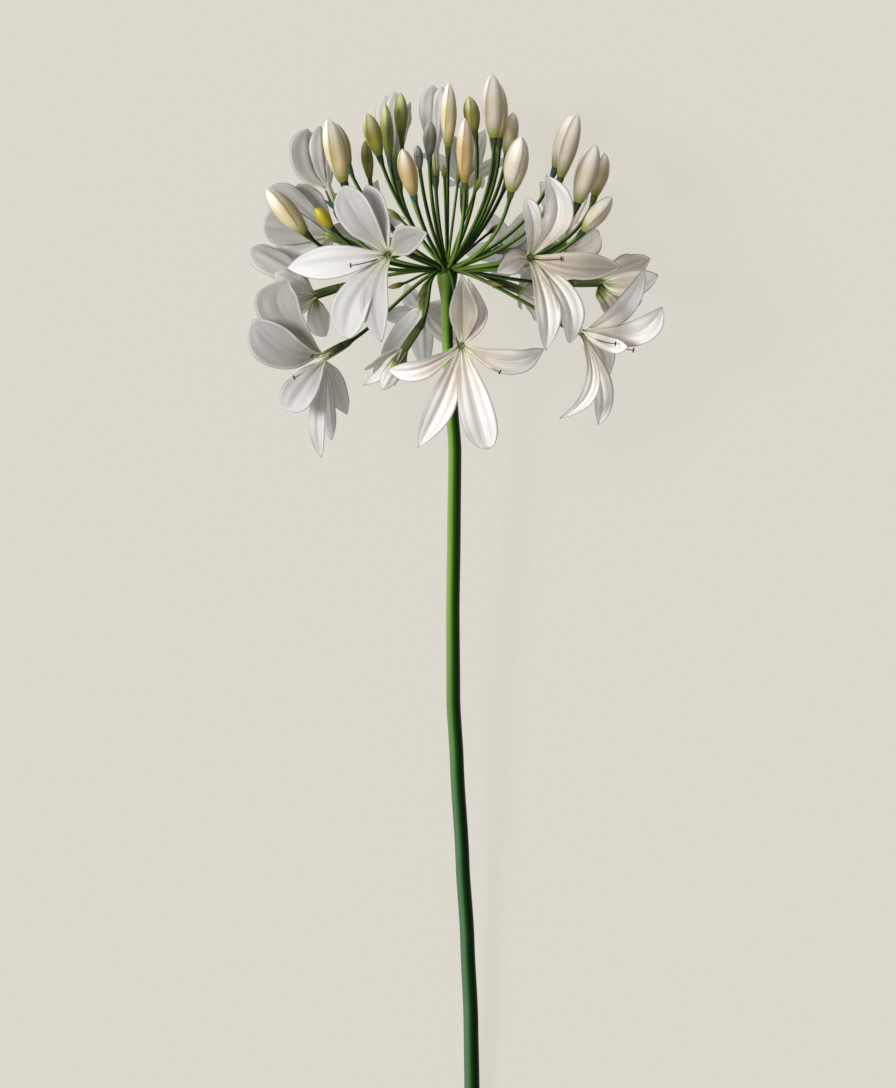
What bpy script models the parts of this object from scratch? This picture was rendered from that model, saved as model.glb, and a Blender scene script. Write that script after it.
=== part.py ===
"""A white agapanthus: a round head of buds and open flowers on one cut stem, laid on its back.

Every shape is drawn in the flower's own upright frame, in millimetres. Its origin is the hub where the
flower stalks meet. X runs to the right across the head, Y along the stem towards the buds, and Z out of
the front of the head. The whole flower then leans back until the stem's cut end and the rear petals lie
on the surface, and the result is in metres with Z up.
"""

import math
import random

import bmesh
import bpy
from mathutils import Matrix, Vector

MM = 0.001
SEED = 11

# Driving dimensions, in millimetres unless a name says otherwise
STEM_LENGTH = 408.0
STEM_END_RADIUS = 3.5
HUB_HEIGHT = 52.0
HUB_RADIUS = 4.8
HUB_RISE = 4.2
NODE_GAP = 0.3
STALK_RADIUS = 0.85
CUP_RADIUS = 1.75
CUP_LENGTH = 5.0
TUBE_LENGTH = 12.0
TUBE_FOOT_RADIUS = 1.9
THROAT_RADIUS = 3.3
PETAL_THICKNESS = 0.7
MIDDLE_OF_FOOTPRINT = (4.0, -160.3)

# How finely the solids are cut
STEM_SIDES = 12
STALK_SIDES = 4
BUD_SIDES = 8
TUBE_SIDES = 6
PETAL_STEPS = 5
REAR_PETAL_STEPS = 4

# The stem's centre line as (right, along, radius), from under the hub down to the cut end
STEM_LINE = (
    (0.2, -2.3, 4.7),
    (0.1, -5.2, 4.5),
    (0.0, -8.9, 3.6),
    (-0.2, -13.5, 2.65),
    (0.2, -31.5, 2.6),
    (1.9, -56.0, 2.8),
    (3.6, -81.0, 3.0),
    (3.2, -117.0, 3.1),
    (2.7, -153.0, 3.1),
    (2.9, -193.5, 3.2),
    (4.5, -222.0, 3.2),
    (7.0, -265.5, 3.2),
    (9.2, -301.5, 3.3),
    (10.8, -337.5, 3.4),
    (11.3, -370.0, 3.5),
    (11.4, -STEM_LENGTH, STEM_END_RADIUS),
)

# Buds as name: (foot, tip, width, colour), where foot and tip are (right, along, front) from the hub
BUDS = {
    "bud_left_low": ((-64, 17, 12), (-81, 36, 20), 10.0, "cream"),
    "bud_left_small": ((-52, 19, 29), (-59, 27, 34), 6.3, "yellow"),
    "bud_left_high": ((-46.5, 39.5, 22), (-53.5, 67.5, 28), 10.5, "cream"),
    "bud_left_high_rear": ((-44.6, 47.3, 5), (-51.4, 66.3, 6), 8.5, "cream"),
    "bud_olive_left": ((-30.5, 51.5, 19), (-36, 70, 24), 8.0, "olive"),
    "bud_green_slender": ((-26, 50.5, 5), (-28, 75, 6), 6.0, "green"),
    "bud_green_high": ((-20.5, 60, -4), (-21, 80, -6), 6.4, "green"),
    "bud_pale_rear": ((-34.8, 41.5, -6), (-37, 58.5, -9), 5.4, "olive"),
    "bud_peach_front": ((-15, 33.5, 50), (-20, 53, 65), 8.6, "peach"),
    "bud_grey_small": ((-12.2, 45.2, 28), (-13.4, 55.5, 32), 4.4, "grey"),
    "bud_grey_middle": ((-7.8, 51, 32), (-7.6, 66, 41), 6.2, "grey"),
    "bud_cream_tall": ((0.5, 55.5, 8), (0.9, 84, 10), 7.4, "cream"),
    "bud_olive_top": ((12.5, 62.5, 2), (9.8, 78, 3), 7.4, "olive"),
    "bud_peach_middle": ((8.1, 38.8, 44), (8, 67, 52), 7.8, "peach"),
    "bud_white_top": ((21, 59.5, 14), (20.2, 87.8, 18), 9.8, "white"),
    "bud_white_top_rear": ((23.6, 59.5, -2), (23, 84.5, -4), 8.4, "cream"),
    "bud_cream_right_rear": ((27, 52.5, -17), (30, 71.5, -22), 7.4, "cream"),
    "bud_white_right_front": ((28.8, 35, 44), (33.2, 59, 52), 11.0, "white"),
    "bud_right_high": ((51.2, 41.8, 6), (58.6, 70.8, 8), 8.4, "white"),
    "bud_right_high_rear": ((48.8, 46, -4), (56.4, 70, -5), 8.4, "white"),
    "bud_right_middle": ((59, 30.5, 14), (66.5, 56.5, 20), 10.4, "white"),
    "bud_right_middle_rear": ((66.5, 33.8, -3), (71, 53, -4), 8.4, "cream"),
    "bud_right_low": ((61.5, 17.5, 16), (74, 32.5, 22), 8.4, "white"),
    "bud_back_top": ((22, 53, -27), (24, 76, -35), 8.4, "cream"),
    "bud_back_left": ((-46.5, 42, -36), (-52, 58, -46), 7.0, "olive"),
    "bud_back_right": ((27, 40, -32), (34, 58, -42), 7.6, "green"),
}

# Open flowers as name: (throat, facing, petals). Petals are six of (middle, tip, width) from the hub, or
# (spin, spread, reach) in degrees and millimetres for a flower whose petals follow the plain rule
BLOOMS = {
    "bloom_front_left": (
        (-26, 6, 56),
        (-0.30, -0.05, 0.95),
        (
            ((-38.5, 21, 63), (-46.6, 36.5, 59), 16.5),
            ((-49, 3, 62), (-71.5, 0, 54), 15),
            ((-40.8, -13, 63), (-45, -31.5, 57), 17),
            ((-32, -12.5, 66), (-29.2, -33, 62), 13),
            ((-19.5, 11.5, 71), (-8.8, 15.2, 81), 13),
            ((-31, 23, 58), (-36, 37, 50), 12),
        ),
    ),
    "bloom_front_right": (
        (37, 4.5, 54),
        (0.42, 0.05, 0.90),
        (
            ((49, 22.5, 62), (44.5, 41.5, 54), 15),
            ((38.5, 18.5, 66), (35, 31, 72), 9),
            ((30, 2.5, 66), (22.5, -2.5, 76), 10),
            ((56, 1, 66), (78, 0.6, 60), 12.5),
            ((44.3, -16, 64), (44.2, -36.8, 57), 12.5),
            ((53, -13, 60), (55, -33.5, 50), 12.5),
        ),
    ),
    "bloom_front_low": (
        (6.5, -34.5, 50),
        (0.05, -0.45, 0.89),
        (
            ((7.4, -20, 54), (6.4, -2.2, 44), 13),
            ((12, -21, 49.5), (9.5, -4.5, 38), 12),
            ((-11.5, -45, 56), (-26.5, -45, 50), 10.5),
            ((26.5, -41.5, 52), (43.5, -36, 41), 13),
            ((-1.5, -58, 55), (-13, -80, 44), 13),
            ((11.5, -57, 55), (18.5, -81, 42), 15.5),
        ),
    ),
    "bloom_right_low": (
        (60, -28, 12),
        (0.78, -0.40, 0.48),
        (
            ((77.5, -19, 24), (88.6, 0.5, 20), 10),
            ((83, -29, 26), (96.5, -17, 24), 12),
            ((72, -33.5, 29), (81, -35, 36), 7),
            ((65, -51.5, 22), (50.5, -67, 16), 7.5),
            ((69.3, -50.5, 10), (68, -69.6, 4), 9.5),
            ((70, -36, -5), (70, -51, -17), 10),
        ),
    ),
    "bloom_left_low": (
        (-55, -39, 16),
        (-0.72, -0.42, 0.55),
        (
            ((-74.5, -18.5, 21), (-71.5, -4, 15), 21),
            ((-73.5, -36.5, 28), (-88.2, -23, 26), 20),
            ((-63.5, -51.5, 31), (-71.5, -63.5, 35), 15),
            ((-58, -63, 20), (-56.4, -84.4, 10), 7.6),
            ((-50.5, -50.5, 8), (-45, -65, -1), 10),
            ((-54, -58, 11), (-52, -76.5, 3), 8),
        ),
    ),
    "bloom_right_rear": (
        (68, -5.5, -12),
        (0.97, 0.03, -0.24),
        (
            ((79.5, 0.8, -9), (91.5, 5.3, -12), 10),
            ((80, -6.5, -4), (95, -2.2, -6), 12),
            ((71.5, -13.5, -8), (74.5, -20, -10), 10),
            ((79, -11, -20), (88, -13, -30), 10),
            ((80, -3, -26), (89, 0, -38), 10),
            ((78, 2, -21), (86, 4, -30), 9),
        ),
    ),
    "bloom_left_middle": (
        (-59, -11, -7),
        (-0.93, -0.28, -0.22),
        (
            ((-74, 1.5, -9), (-88.8, 9.5, -12), 14),
            ((-72, -17, 2), (-84, -20, 2), 12),
            ((-58, -20, -9), (-54.5, -29.5, -13), 12),
            ((-70, -17, -22), (-80, -20, -34), 11),
            ((-68, -9, -21), (-75, -11, -33), 10),
            ((-68, -6, 3), (-78, -2, 6), 10),
        ),
    ),
    "bloom_left_rear": (
        (-53, 16, -18),
        (-0.80, 0.35, -0.48),
        (
            ((-68, 28, -17), (-81.5, 36.5, -19), 16),
            ((-69, 19, -14), (-83, 21, -12), 17),
            ((-66, 12, -20), (-78.5, 10, -26), 14),
            ((-60, 27, -24), (-67, 39.2, -27), 15),
            ((-64, 20, -35), (-74, 25, -49), 12),
            ((-58, 8, -31), (-66, 1, -44), 12),
        ),
    ),
    "bloom_left_half_open": (
        (-54, 37, -14.5),
        (-0.38, 0.90, -0.20),
        (
            ((-62.3, 47.5, -14), (-63, 63.8, -15), 15.5),
            ((-56.5, 50, -8), (-57.3, 65, -7), 10.5),
            ((-52.5, 51, -11), (-52.5, 64, -12), 8.5),
            ((-54, 50, -20), (-53, 63, -26), 8),
            ((-58, 49, -25), (-58.5, 61, -33), 8),
            ((-62, 47, -22), (-64, 59, -29), 9),
        ),
    ),
    "bloom_top_half_open": (
        (-5.6, 54, -14),
        (-0.03, 0.99, -0.08),
        (
            ((-7.2, 68.5, -10), (-6.3, 83.3, -11), 10.4),
            ((-3, 70, -9), (-2.2, 82.5, -9), 8),
            ((0.5, 72, -15), (2, 81, -17), 7),
            ((-2.5, 72, -20), (-1, 80, -24), 7),
            ((-7.5, 72, -20), (-7.5, 80, -24), 7),
            ((-9.6, 71.5, -15), (-9.8, 80, -18), 6.5),
        ),
    ),
    "bloom_upper_left_half_open": (
        (-23.5, 52, -20),
        (-0.14, 0.97, -0.18),
        (
            ((-27.2, 65, -17), (-27.6, 78.5, -17), 9),
            ((-23.5, 66, -14), (-23.4, 80.5, -13), 8.5),
            ((-18.5, 64, -18), (-16.5, 76, -19), 7.5),
            ((-19, 63, -25), (-17, 73, -30), 7.5),
            ((-25, 63, -27), (-25, 73, -33), 7.5),
            ((-28, 63, -23), (-29, 74, -27), 7.5),
        ),
    ),
    "bloom_right_upper_rear": (
        (53, 12, -20),
        (0.72, 0.30, -0.60),
        (
            ((58.5, 12, -10), (68.3, 17.5, -8), 17),
            ((47, 27, -19), (42, 40, -23), 12),
            ((58, 28, -26), (61, 41, -32), 11),
            ((60, 11, -33), (66, 9, -44), 11),
            ((56, 2, -32), (60, -6, -42), 11),
            ((50, 17, -36), (50, 20, -49), 11),
        ),
    ),
    "bloom_stem_right": (
        (33, -9, -19),
        (0.72, -0.28, -0.63),
        (
            ((39, -17, -24), (45, -27, -31), 12),
            ((43, -9, -24), (53, -11, -29), 11),
            ((41, -4, -31), (48, -1, -41), 10),
            ((34, -4, -34), (35, -1, -47), 10),
            ((33, -11, -36), (34, -14, -50), 10),
            ((37, -15, -34), (41, -21, -46), 10),
        ),
    ),
    "bloom_stem_left": (
        (-19, -35.5, 0),
        (-0.56, -0.83, 0.02),
        (
            ((-27.5, -43, 3), (-37.5, -52, 4), 8.5),
            ((-24, -45, 6), (-29, -54, 8), 8),
            ((-20.5, -44, 2), (-23.5, -52, 2), 7.5),
            ((-21.5, -43, -6), (-25, -50, -11), 7.5),
            ((-26, -41, -7), (-33, -47, -12), 7.5),
            ((-28.5, -39, -2), (-37, -45, -4), 7.5),
        ),
    ),
    "bloom_back_low": ((-11, -16, -30), (-0.12, -0.50, -0.86), (10, 48, 29)),
    "bloom_back_left": ((-34, 18, -38), (-0.35, 0.15, -0.92), (0, 52, 28)),
    "bloom_back_top": ((8, 37, -30), (0.02, 0.70, -0.70), (0, 42, 28)),
    "bloom_back_right": ((26, 10, -40), (0.25, 0.05, -0.97), (35, 56, 28)),
}

# How blunt each petal's tip is, from 0 for pointed to 1 for round, where it isn't the usual. Below 0 the
# petal is also widest nearer its foot
USUAL_BLUNTNESS = 0.3
BLUNTNESS = {
    "bloom_front_left": (0.5, 0.0, 0.6, 0.1, 0.0, 0.3),
    "bloom_front_right": (0.3, 0.6, 0.0, 0.1, 0.1, 0.6),
    "bloom_front_low": (-0.6, -0.6, 0.0, 0.1, 0.0, 1.0),
    "bloom_right_low": (0.1, 0.4, 0.2, 0.1, 0.3, 0.3),
    "bloom_left_low": (0.4, 0.6, 1.0, 0.2, 0.2, 0.3),
    "bloom_left_middle": (1.0, 0.5, 0.6, 0.3, 0.3, 0.3),
    "bloom_left_rear": (0.7, 0.8, 0.4, 0.8, 0.3, 0.3),
    "bloom_left_half_open": (0.7, 0.6, 0.5, 0.5, 0.5, 0.5),
    "bloom_top_half_open": (0.7, 0.6, 0.5, 0.5, 0.5, 0.5),
    "bloom_upper_left_half_open": (0.8, 0.7, 0.5, 0.5, 0.5, 0.5),
    "bloom_right_upper_rear": (1.0, 0.4, 0.3, 0.3, 0.3, 0.3),
}

# The way that the petals' faces are turned, where it isn't the way that the flower faces
PETAL_FACES = {
    "bloom_right_low": (0.30, -0.10, 0.95),
    "bloom_left_low": (-0.25, -0.15, 0.95),
    "bloom_right_rear": (0.60, 0.10, 0.80),
    "bloom_left_middle": (-0.50, -0.10, -0.86),
    "bloom_left_rear": (-0.35, 0.15, -0.92),
}

# Tiny unopened buds on their own thin stalks, as (foot, tip) from the hub
UNOPENED = (
    ((-1.2, 42, 19), (-1.4, 46.5, 21)),
    ((-7.7, -5.9, 9), (-13.6, -13.2, 13)),
    ((5, 40, 18), (5.8, 46, 20)),
    ((13, 36, 22), (15.5, 42, 25)),
    ((-22, 24, -14), (-27, 28, -17)),
    ((20, 18, -20), (24, 21, -25)),
    ((18, -6, 8), (24, -7, 10)),
    ((-20, -7, 2), (-27, -8, 3)),
)

# Shape rules shared by the repeats
BUD_PROFILE = ((0.0, 0.42), (0.14, 0.68), (0.43, 1.0), (0.68, 0.93), (0.88, 0.58))
PETAL_WIDTH_SHARE = 0.36
PETAL_FOOT = 1.25
LAYER_STEP = 2.2
WIDEST_AT = 0.58
PETAL_END_SHARE = 0.16
PETAL_ARCH = 0.42
PETAL_TROUGH = 0.34
STALK_BEND = 0.45
FIRST_REACH = 12.0
UNOPENED_RADIUS = 1.3
THIN_STALK_RADIUS = 0.6
STAMEN_RADIUS = 0.4
SHORT_STAMEN_LENGTH = 3.0
ANTHER_RADIUS = 0.8

# The tips of the long stamens, for each flower that faces the front. The rest of the six are short
LONG_STAMENS = {
    "bloom_front_left": ((-43, 1, 68),),
    "bloom_front_right": ((51, 4, 66),),
    "bloom_front_low": ((23.7, -46.5, 60),),
    "bloom_right_low": ((75.5, -33.5, 36), (83.5, -36.5, 40)),
    "bloom_left_low": ((-60.5, -39, 36), (-68.5, -48.8, 40)),
}

# Colours as linear red, green, blue, then roughness
FINISHES = {
    "stem_green": ((0.13, 0.30, 0.03), 0.42),
    "stalk_green": ((0.06, 0.19, 0.03), 0.45),
    "petal_white": ((0.80, 0.79, 0.75), 0.50),
    "bud_white": ((0.76, 0.70, 0.56), 0.45),
    "bud_cream": ((0.72, 0.60, 0.36), 0.45),
    "bud_peach": ((0.76, 0.56, 0.36), 0.45),
    "bud_olive": ((0.34, 0.36, 0.10), 0.45),
    "bud_green": ((0.20, 0.28, 0.08), 0.45),
    "bud_grey": ((0.22, 0.22, 0.17), 0.45),
    "bud_yellow": ((0.56, 0.46, 0.03), 0.45),
}


def clear_scene():
    for obj in list(bpy.data.objects):
        bpy.data.objects.remove(obj)


def finish(name):
    """The material of that name, made the first time it is asked for."""
    found = bpy.data.materials.get(name)
    if found:
        return found
    colour, roughness = FINISHES[name]
    material = bpy.data.materials.new(name)
    material.use_nodes = True
    shader = material.node_tree.nodes["Principled BSDF"]
    shader.inputs["Base Color"].default_value = (*colour, 1.0)
    shader.inputs["Roughness"].default_value = roughness
    shader.inputs["Metallic"].default_value = 0.0
    return material


def lying_matrix():
    """Leans the upright flower back until the underside of the stem's cut end is on the surface."""
    lean = math.asin((HUB_HEIGHT - STEM_END_RADIUS) / STEM_LENGTH)
    across, along = MIDDLE_OF_FOOTPRINT
    hub = Vector((-across, -along, HUB_HEIGHT))
    return Matrix.Translation(hub) @ Matrix.Rotation(lean, 4, "X")


LYING = lying_matrix()


def link(name, mesh):
    obj = bpy.data.objects.new(name, mesh)
    bpy.context.scene.collection.objects.link(obj)
    return obj


def mesh_of(bm, name):
    """Turns a bmesh into a mesh with its faces pointing outwards, and frees the bmesh."""
    bmesh.ops.recalc_face_normals(bm, faces=bm.faces)
    mesh = bpy.data.meshes.new(name)
    bm.to_mesh(mesh)
    bm.free()
    return mesh


def frame_towards(direction):
    """A rotation whose local Z points along the direction."""
    return Vector(direction).normalized().to_track_quat("Z", "Y").to_matrix().to_4x4()


def bezier(start, handle, end, share):
    rest = 1.0 - share
    return start * rest * rest + handle * 2.0 * rest * share + end * share * share


def bezier_heading(start, handle, end, share):
    return ((handle - start) * (1.0 - share) + (end - handle) * share).normalized()


def cubic(start, first, second, end, share):
    near = bezier(start, first, second, share)
    far = bezier(first, second, end, share)
    return near.lerp(far, share)


def tube(name, points, radii, sides):
    """A closed round tube along the points, as a mesh, with a radius for each point."""
    curve = bpy.data.curves.new(name, "CURVE")
    curve.dimensions = "3D"
    curve.bevel_depth = 1.0
    curve.bevel_resolution = max(0, sides // 2 - 2)
    curve.use_fill_caps = True
    spline = curve.splines.new("POLY")
    spline.points.add(len(points) - 1)
    for slot, point, radius in zip(spline.points, points, radii):
        slot.co = (*point, 1.0)
        slot.radius = radius
    guide = link(name, curve)
    graph = bpy.context.evaluated_depsgraph_get()
    bm = bmesh.new()
    bm.from_mesh(guide.evaluated_get(graph).to_mesh())
    bpy.data.objects.remove(guide)
    bmesh.ops.remove_doubles(bm, verts=bm.verts, dist=0.001)
    return mesh_of(bm, name)


def turned(name, profile, sides):
    """A closed solid turned round Z from (height, radius) pairs, with flat or pointed ends."""
    bm = bmesh.new()
    ring = None
    for height, radius in profile:
        made = bmesh.ops.create_circle(bm, cap_ends=False, radius=radius, segments=sides)
        bmesh.ops.translate(bm, verts=made["verts"], vec=(0.0, 0.0, height))
        edges = [e for e in bm.edges if all(v in made["verts"] for v in e.verts)]
        if ring:
            bmesh.ops.bridge_loops(bm, edges=ring + edges)
        else:
            bmesh.ops.contextual_create(bm, geom=edges)
        ring = edges
    bmesh.ops.contextual_create(bm, geom=ring)
    return mesh_of(bm, name)


def moved(mesh, matrix):
    mesh.transform(matrix)
    return mesh


def largest_island(mesh):
    """Keeps the main body, and drops the crumbs and sealed specks that a union leaves."""
    bm = bmesh.new()
    bm.from_mesh(mesh)
    left = set(bm.verts)
    islands = []
    while left:
        reached = {left.pop()}
        front = list(reached)
        while front:
            near = {e.other_vert(v) for v in front for e in v.link_edges} - reached
            reached |= near
            front = list(near)
        left -= reached
        islands.append(reached)
    islands.sort(key=len)
    crumbs = [vert for island in islands[:-1] for vert in island]
    bmesh.ops.delete(bm, geom=crumbs, context="VERTS")
    bm.to_mesh(mesh)
    bm.free()
    return mesh


def union(name, meshes):
    """Joins closed meshes into one closed body, and removes what it was joined from."""
    helpers = bpy.data.collections.new(name + "_pieces")
    for number, mesh in enumerate(meshes[1:]):
        helpers.objects.link(bpy.data.objects.new(f"{name}_piece_{number}", mesh))
    body = link(name, meshes[0])
    join = body.modifiers.new("Join", "BOOLEAN")
    join.operation = "UNION"
    join.operand_type = "COLLECTION"
    join.collection = helpers
    join.solver = "MANIFOLD"
    graph = bpy.context.evaluated_depsgraph_get()
    joined = bpy.data.meshes.new_from_object(body.evaluated_get(graph))
    body.modifiers.clear()
    body.data = largest_island(joined)
    for piece in list(helpers.objects):
        bpy.data.objects.remove(piece)
    bpy.data.collections.remove(helpers)
    return body


def press_on_surface(low, high):
    """Lifts a pair of points, one on each face of a petal, on to the surface and keeps them apart."""
    upright = LYING.inverted()
    ends = [LYING @ low, LYING @ high]
    sunk = min(point.z for point in ends)
    if sunk >= 0.0:
        return low, high
    ends = [point - Vector((0.0, 0.0, sunk)) for point in ends]
    top = max(ends, key=lambda point: point.z)
    top.z = max(top.z, PETAL_THICKNESS)
    return [upright @ point for point in ends]


def seat(obj, matrix, lying, material):
    """Gives a node its own origin, hangs it on the lying flower and colours it. Meshes are in millimetres."""
    obj.data.transform(matrix.inverted())
    obj.data.transform(Matrix.Scale(MM, 4))
    shown = matrix.copy()
    shown.translation *= MM
    obj.parent = lying
    obj.matrix_parent_inverse = Matrix.Identity(4)
    obj.matrix_basis = shown
    obj.data.materials.clear()
    obj.data.materials.append(finish(material))
    obj.data.shade_smooth()
    obj.data.set_sharp_from_angle(angle=math.radians(50))


def stem(lying):
    """The scape: one long stalk that flares under the hub and ends in a straight cut."""
    points = [(right, along, 0.0) for right, along, _ in STEM_LINE]
    radii = [radius for _, _, radius in STEM_LINE]
    obj = link("stem", tube("stem", points, radii, STEM_SIDES))
    seat(obj, Matrix.Identity(4), lying, "stem_green")


def stalk_line(foot, facing, length):
    """Five stations of a flower stalk that leaves the hub outwards and turns to face along its flower."""
    end = Vector(foot) - facing * (NODE_GAP / 2)
    turn = end - facing * STALK_BEND * end.length
    first = turn * 0.3
    if turn.y < 6.0:
        first = Vector((turn.x, 0.0, turn.z)).normalized() * FIRST_REACH
        first.y = 0.5
    hub = Vector((0.0, 0.0, 0.0))
    flare = 1.0 - length / end.length
    shares = (0.0, 0.21, 0.56, flare, 1.0)
    return [cubic(hub, first, turn, end, share) for share in shares]


def stalks(lying):
    """The hub, every flower stalk with the small green cup at its end, and the tiny unopened buds."""
    hub_profile = ((-2.0, 4.4), (0.0, HUB_RADIUS), (2.2, 4.2), (HUB_RISE, 2.2))
    upright = Matrix.Rotation(math.radians(-90), 4, "X")
    pieces = [moved(turned("hub", hub_profile, STEM_SIDES), upright)]
    waist = STALK_RADIUS
    for foot, tip, width, _ in BUDS.values():
        cup = CUP_RADIUS * min(1.0, width / 9.0)
        facing = (Vector(tip) - Vector(foot)).normalized()
        radii = (1.05, waist, waist * 0.95, waist * 1.05, cup)
        pieces.append(tube("stalk", stalk_line(foot, facing, CUP_LENGTH), radii, STALK_SIDES))
    for throat, facing, _ in BLOOMS.values():
        facing = Vector(facing).normalized()
        foot = Vector(throat) - facing * TUBE_LENGTH
        radii = (1.05, waist, waist * 0.95, waist * 1.05, CUP_RADIUS)
        pieces.append(tube("stalk", stalk_line(foot, facing, CUP_LENGTH), radii, STALK_SIDES))
    for foot, tip in UNOPENED:
        facing = (Vector(tip) - Vector(foot)).normalized()
        line = stalk_line(foot, facing, 3.0)[:-1]
        length = (Vector(tip) - Vector(foot)).length
        line += [Vector(foot) + facing * length * share for share in (0.45, 0.95)]
        thin = THIN_STALK_RADIUS
        radii = (thin, thin, thin, thin, UNOPENED_RADIUS, 0.35)
        pieces.append(tube("unopened", line, radii, STALK_SIDES))
    obj = union("flower_stalks", pieces)
    seat(obj, Matrix.Identity(4), lying, "stalk_green")


def bud(name, foot, tip, width, colour, lying):
    """One closed bud: a spindle, fuller above the middle, that sits in the cup of its stalk."""
    axis = Vector(tip) - Vector(foot)
    facing = axis.normalized()
    length = axis.length - NODE_GAP / 2
    profile = [(length * along, width / 2 * share) for along, share in BUD_PROFILE]
    profile.append((length, 0.35))
    place = Matrix.Translation(Vector(foot) + facing * NODE_GAP / 2) @ frame_towards(facing)
    obj = link(name, moved(turned(name, profile, BUD_SIDES), place))
    seat(obj, place, lying, "bud_" + colour)


def petal_outline(along, width, blunt):
    """Half the petal's width at that share of its length. A blunt petal is widest nearer its tip."""
    foot = PETAL_FOOT
    half = width / 2
    widest = WIDEST_AT + 0.1 * blunt
    if along < widest:
        rise = math.sin(math.pi / 2 * along / widest) ** 1.4
        return foot + (half - foot) * rise
    fall = ((along - widest) / (1.0 - widest)) ** (2.0 + 0.6 * blunt)
    return half * max(PETAL_END_SHARE, (1.0 - fall) ** (0.95 - 0.35 * blunt))


def petal_point(root, handle, tip, face, width, blunt, along, across):
    """A point of a petal's middle sheet and its inner normal. Across runs -1 to 1 over the width."""
    centre = bezier(root, handle, tip, along)
    heading = bezier_heading(root, handle, tip, along)
    side = face.cross(tip - root).normalized()
    side = (side - heading * side.dot(heading)).normalized()
    inner = heading.cross(side)
    half = petal_outline(along, width, blunt)
    bowl = PETAL_TROUGH * half * (across * across - 0.3)
    normal = (inner - side * 2.0 * PETAL_TROUGH * across).normalized()
    return centre + side * half * across + inner * bowl, normal


def petal(root, handle, tip, face, width, blunt, steps):
    """One closed blade, bent along its length and troughed across it."""
    bm = bmesh.new()
    bmesh.ops.create_grid(bm, x_segments=2, y_segments=steps, size=1.0)
    bmesh.ops.triangulate(bm, faces=bm.faces)
    sheet = bm.verts[:]
    copied = bmesh.ops.duplicate(bm, geom=bm.verts[:] + bm.edges[:] + bm.faces[:])
    pairs = copied["vert_map"]
    for vert in sheet:
        along = (vert.co.y + 1.0) / 2
        middle, normal = petal_point(root, handle, tip, face, width, blunt, along, vert.co.x)
        half = normal * PETAL_THICKNESS / 2
        vert.co, pairs[vert].co = press_on_surface(middle - half, middle + half)
    rim = [edge for edge in bm.edges if edge.is_boundary]
    bmesh.ops.bridge_loops(bm, edges=rim)
    bmesh.ops.triangulate(bm, faces=bm.faces)
    return mesh_of(bm, "petal")


def ruled_tips(throat, facing, spin, spread, reach, draw):
    """A ring of six petal tips at a spread from the facing, slightly uneven."""
    turn = frame_towards(facing).to_3x3()
    tips = []
    for number in range(6):
        bearing = math.radians(spin + 60 * number + draw.uniform(-5, 5))
        lean = math.radians(spread + draw.uniform(-4, 4))
        length = reach * draw.uniform(0.95, 1.05)
        out = Vector((math.cos(bearing), math.sin(bearing), 0.0)) * math.sin(lean)
        out.z = math.cos(lean)
        tips.append(throat + turn @ out * length)
    return tips


def petal_lines(name, throat, facing, petals, draw):
    """Root, handle, tip, width and bluntness of each petal, in an outer layer of three and an inner one."""
    if len(petals) == 6:
        wanted = [(Vector(tip), width, Vector(middle)) for middle, tip, width in petals]
    else:
        tips = ruled_tips(throat, facing, *petals, draw)
        wanted = [(tip, petals[2] * PETAL_WIDTH_SHARE, None) for tip in tips]
    blunt = BLUNTNESS.get(name, (USUAL_BLUNTNESS,) * 6)
    wanted = [(*item, share) for item, share in zip(wanted, blunt)]
    into = frame_towards(facing).to_3x3().inverted()
    wanted.sort(key=lambda item: math.atan2(*(into @ (item[0] - throat)).yx))
    lines = []
    for number, (tip, width, middle, share) in enumerate(wanted):
        reach = tip - throat
        out = (reach - facing * reach.dot(facing)).normalized()
        layer = LAYER_STEP * (number % 2)
        root = throat + out * (THROAT_RADIUS - 1.2 + layer * 0.3) - facing * (0.8 + layer)
        handle = root + facing * PETAL_ARCH * reach.length
        if middle:
            handle = middle * 2.0 - (root + tip) / 2
        lines.append((root, handle, tip, width, share))
    return lines


def stamens(throat, facing, long_tips):
    """Six thin filaments that rise from inside the throat, each with an anther at its end."""
    turn = frame_towards(facing).to_3x3()
    tips = [Vector(tip) for tip in long_tips]
    made = []
    for number in range(6):
        bearing = math.tau * (number + 0.5) / 6
        out = turn @ Vector((math.cos(bearing), math.sin(bearing), 0.0))
        root = throat + out * 0.8 - facing * 7.0
        tip = throat + facing * SHORT_STAMEN_LENGTH + out * 1.6
        if number < len(tips):
            root = throat - facing * 7.0
            tip = tips[number]
        ahead = (tip - root).normalized() * 1.3
        radii = (STAMEN_RADIUS, STAMEN_RADIUS, ANTHER_RADIUS)
        made.append(tube("stamen", (root, tip, tip + ahead), radii, STALK_SIDES))
    return made


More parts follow.
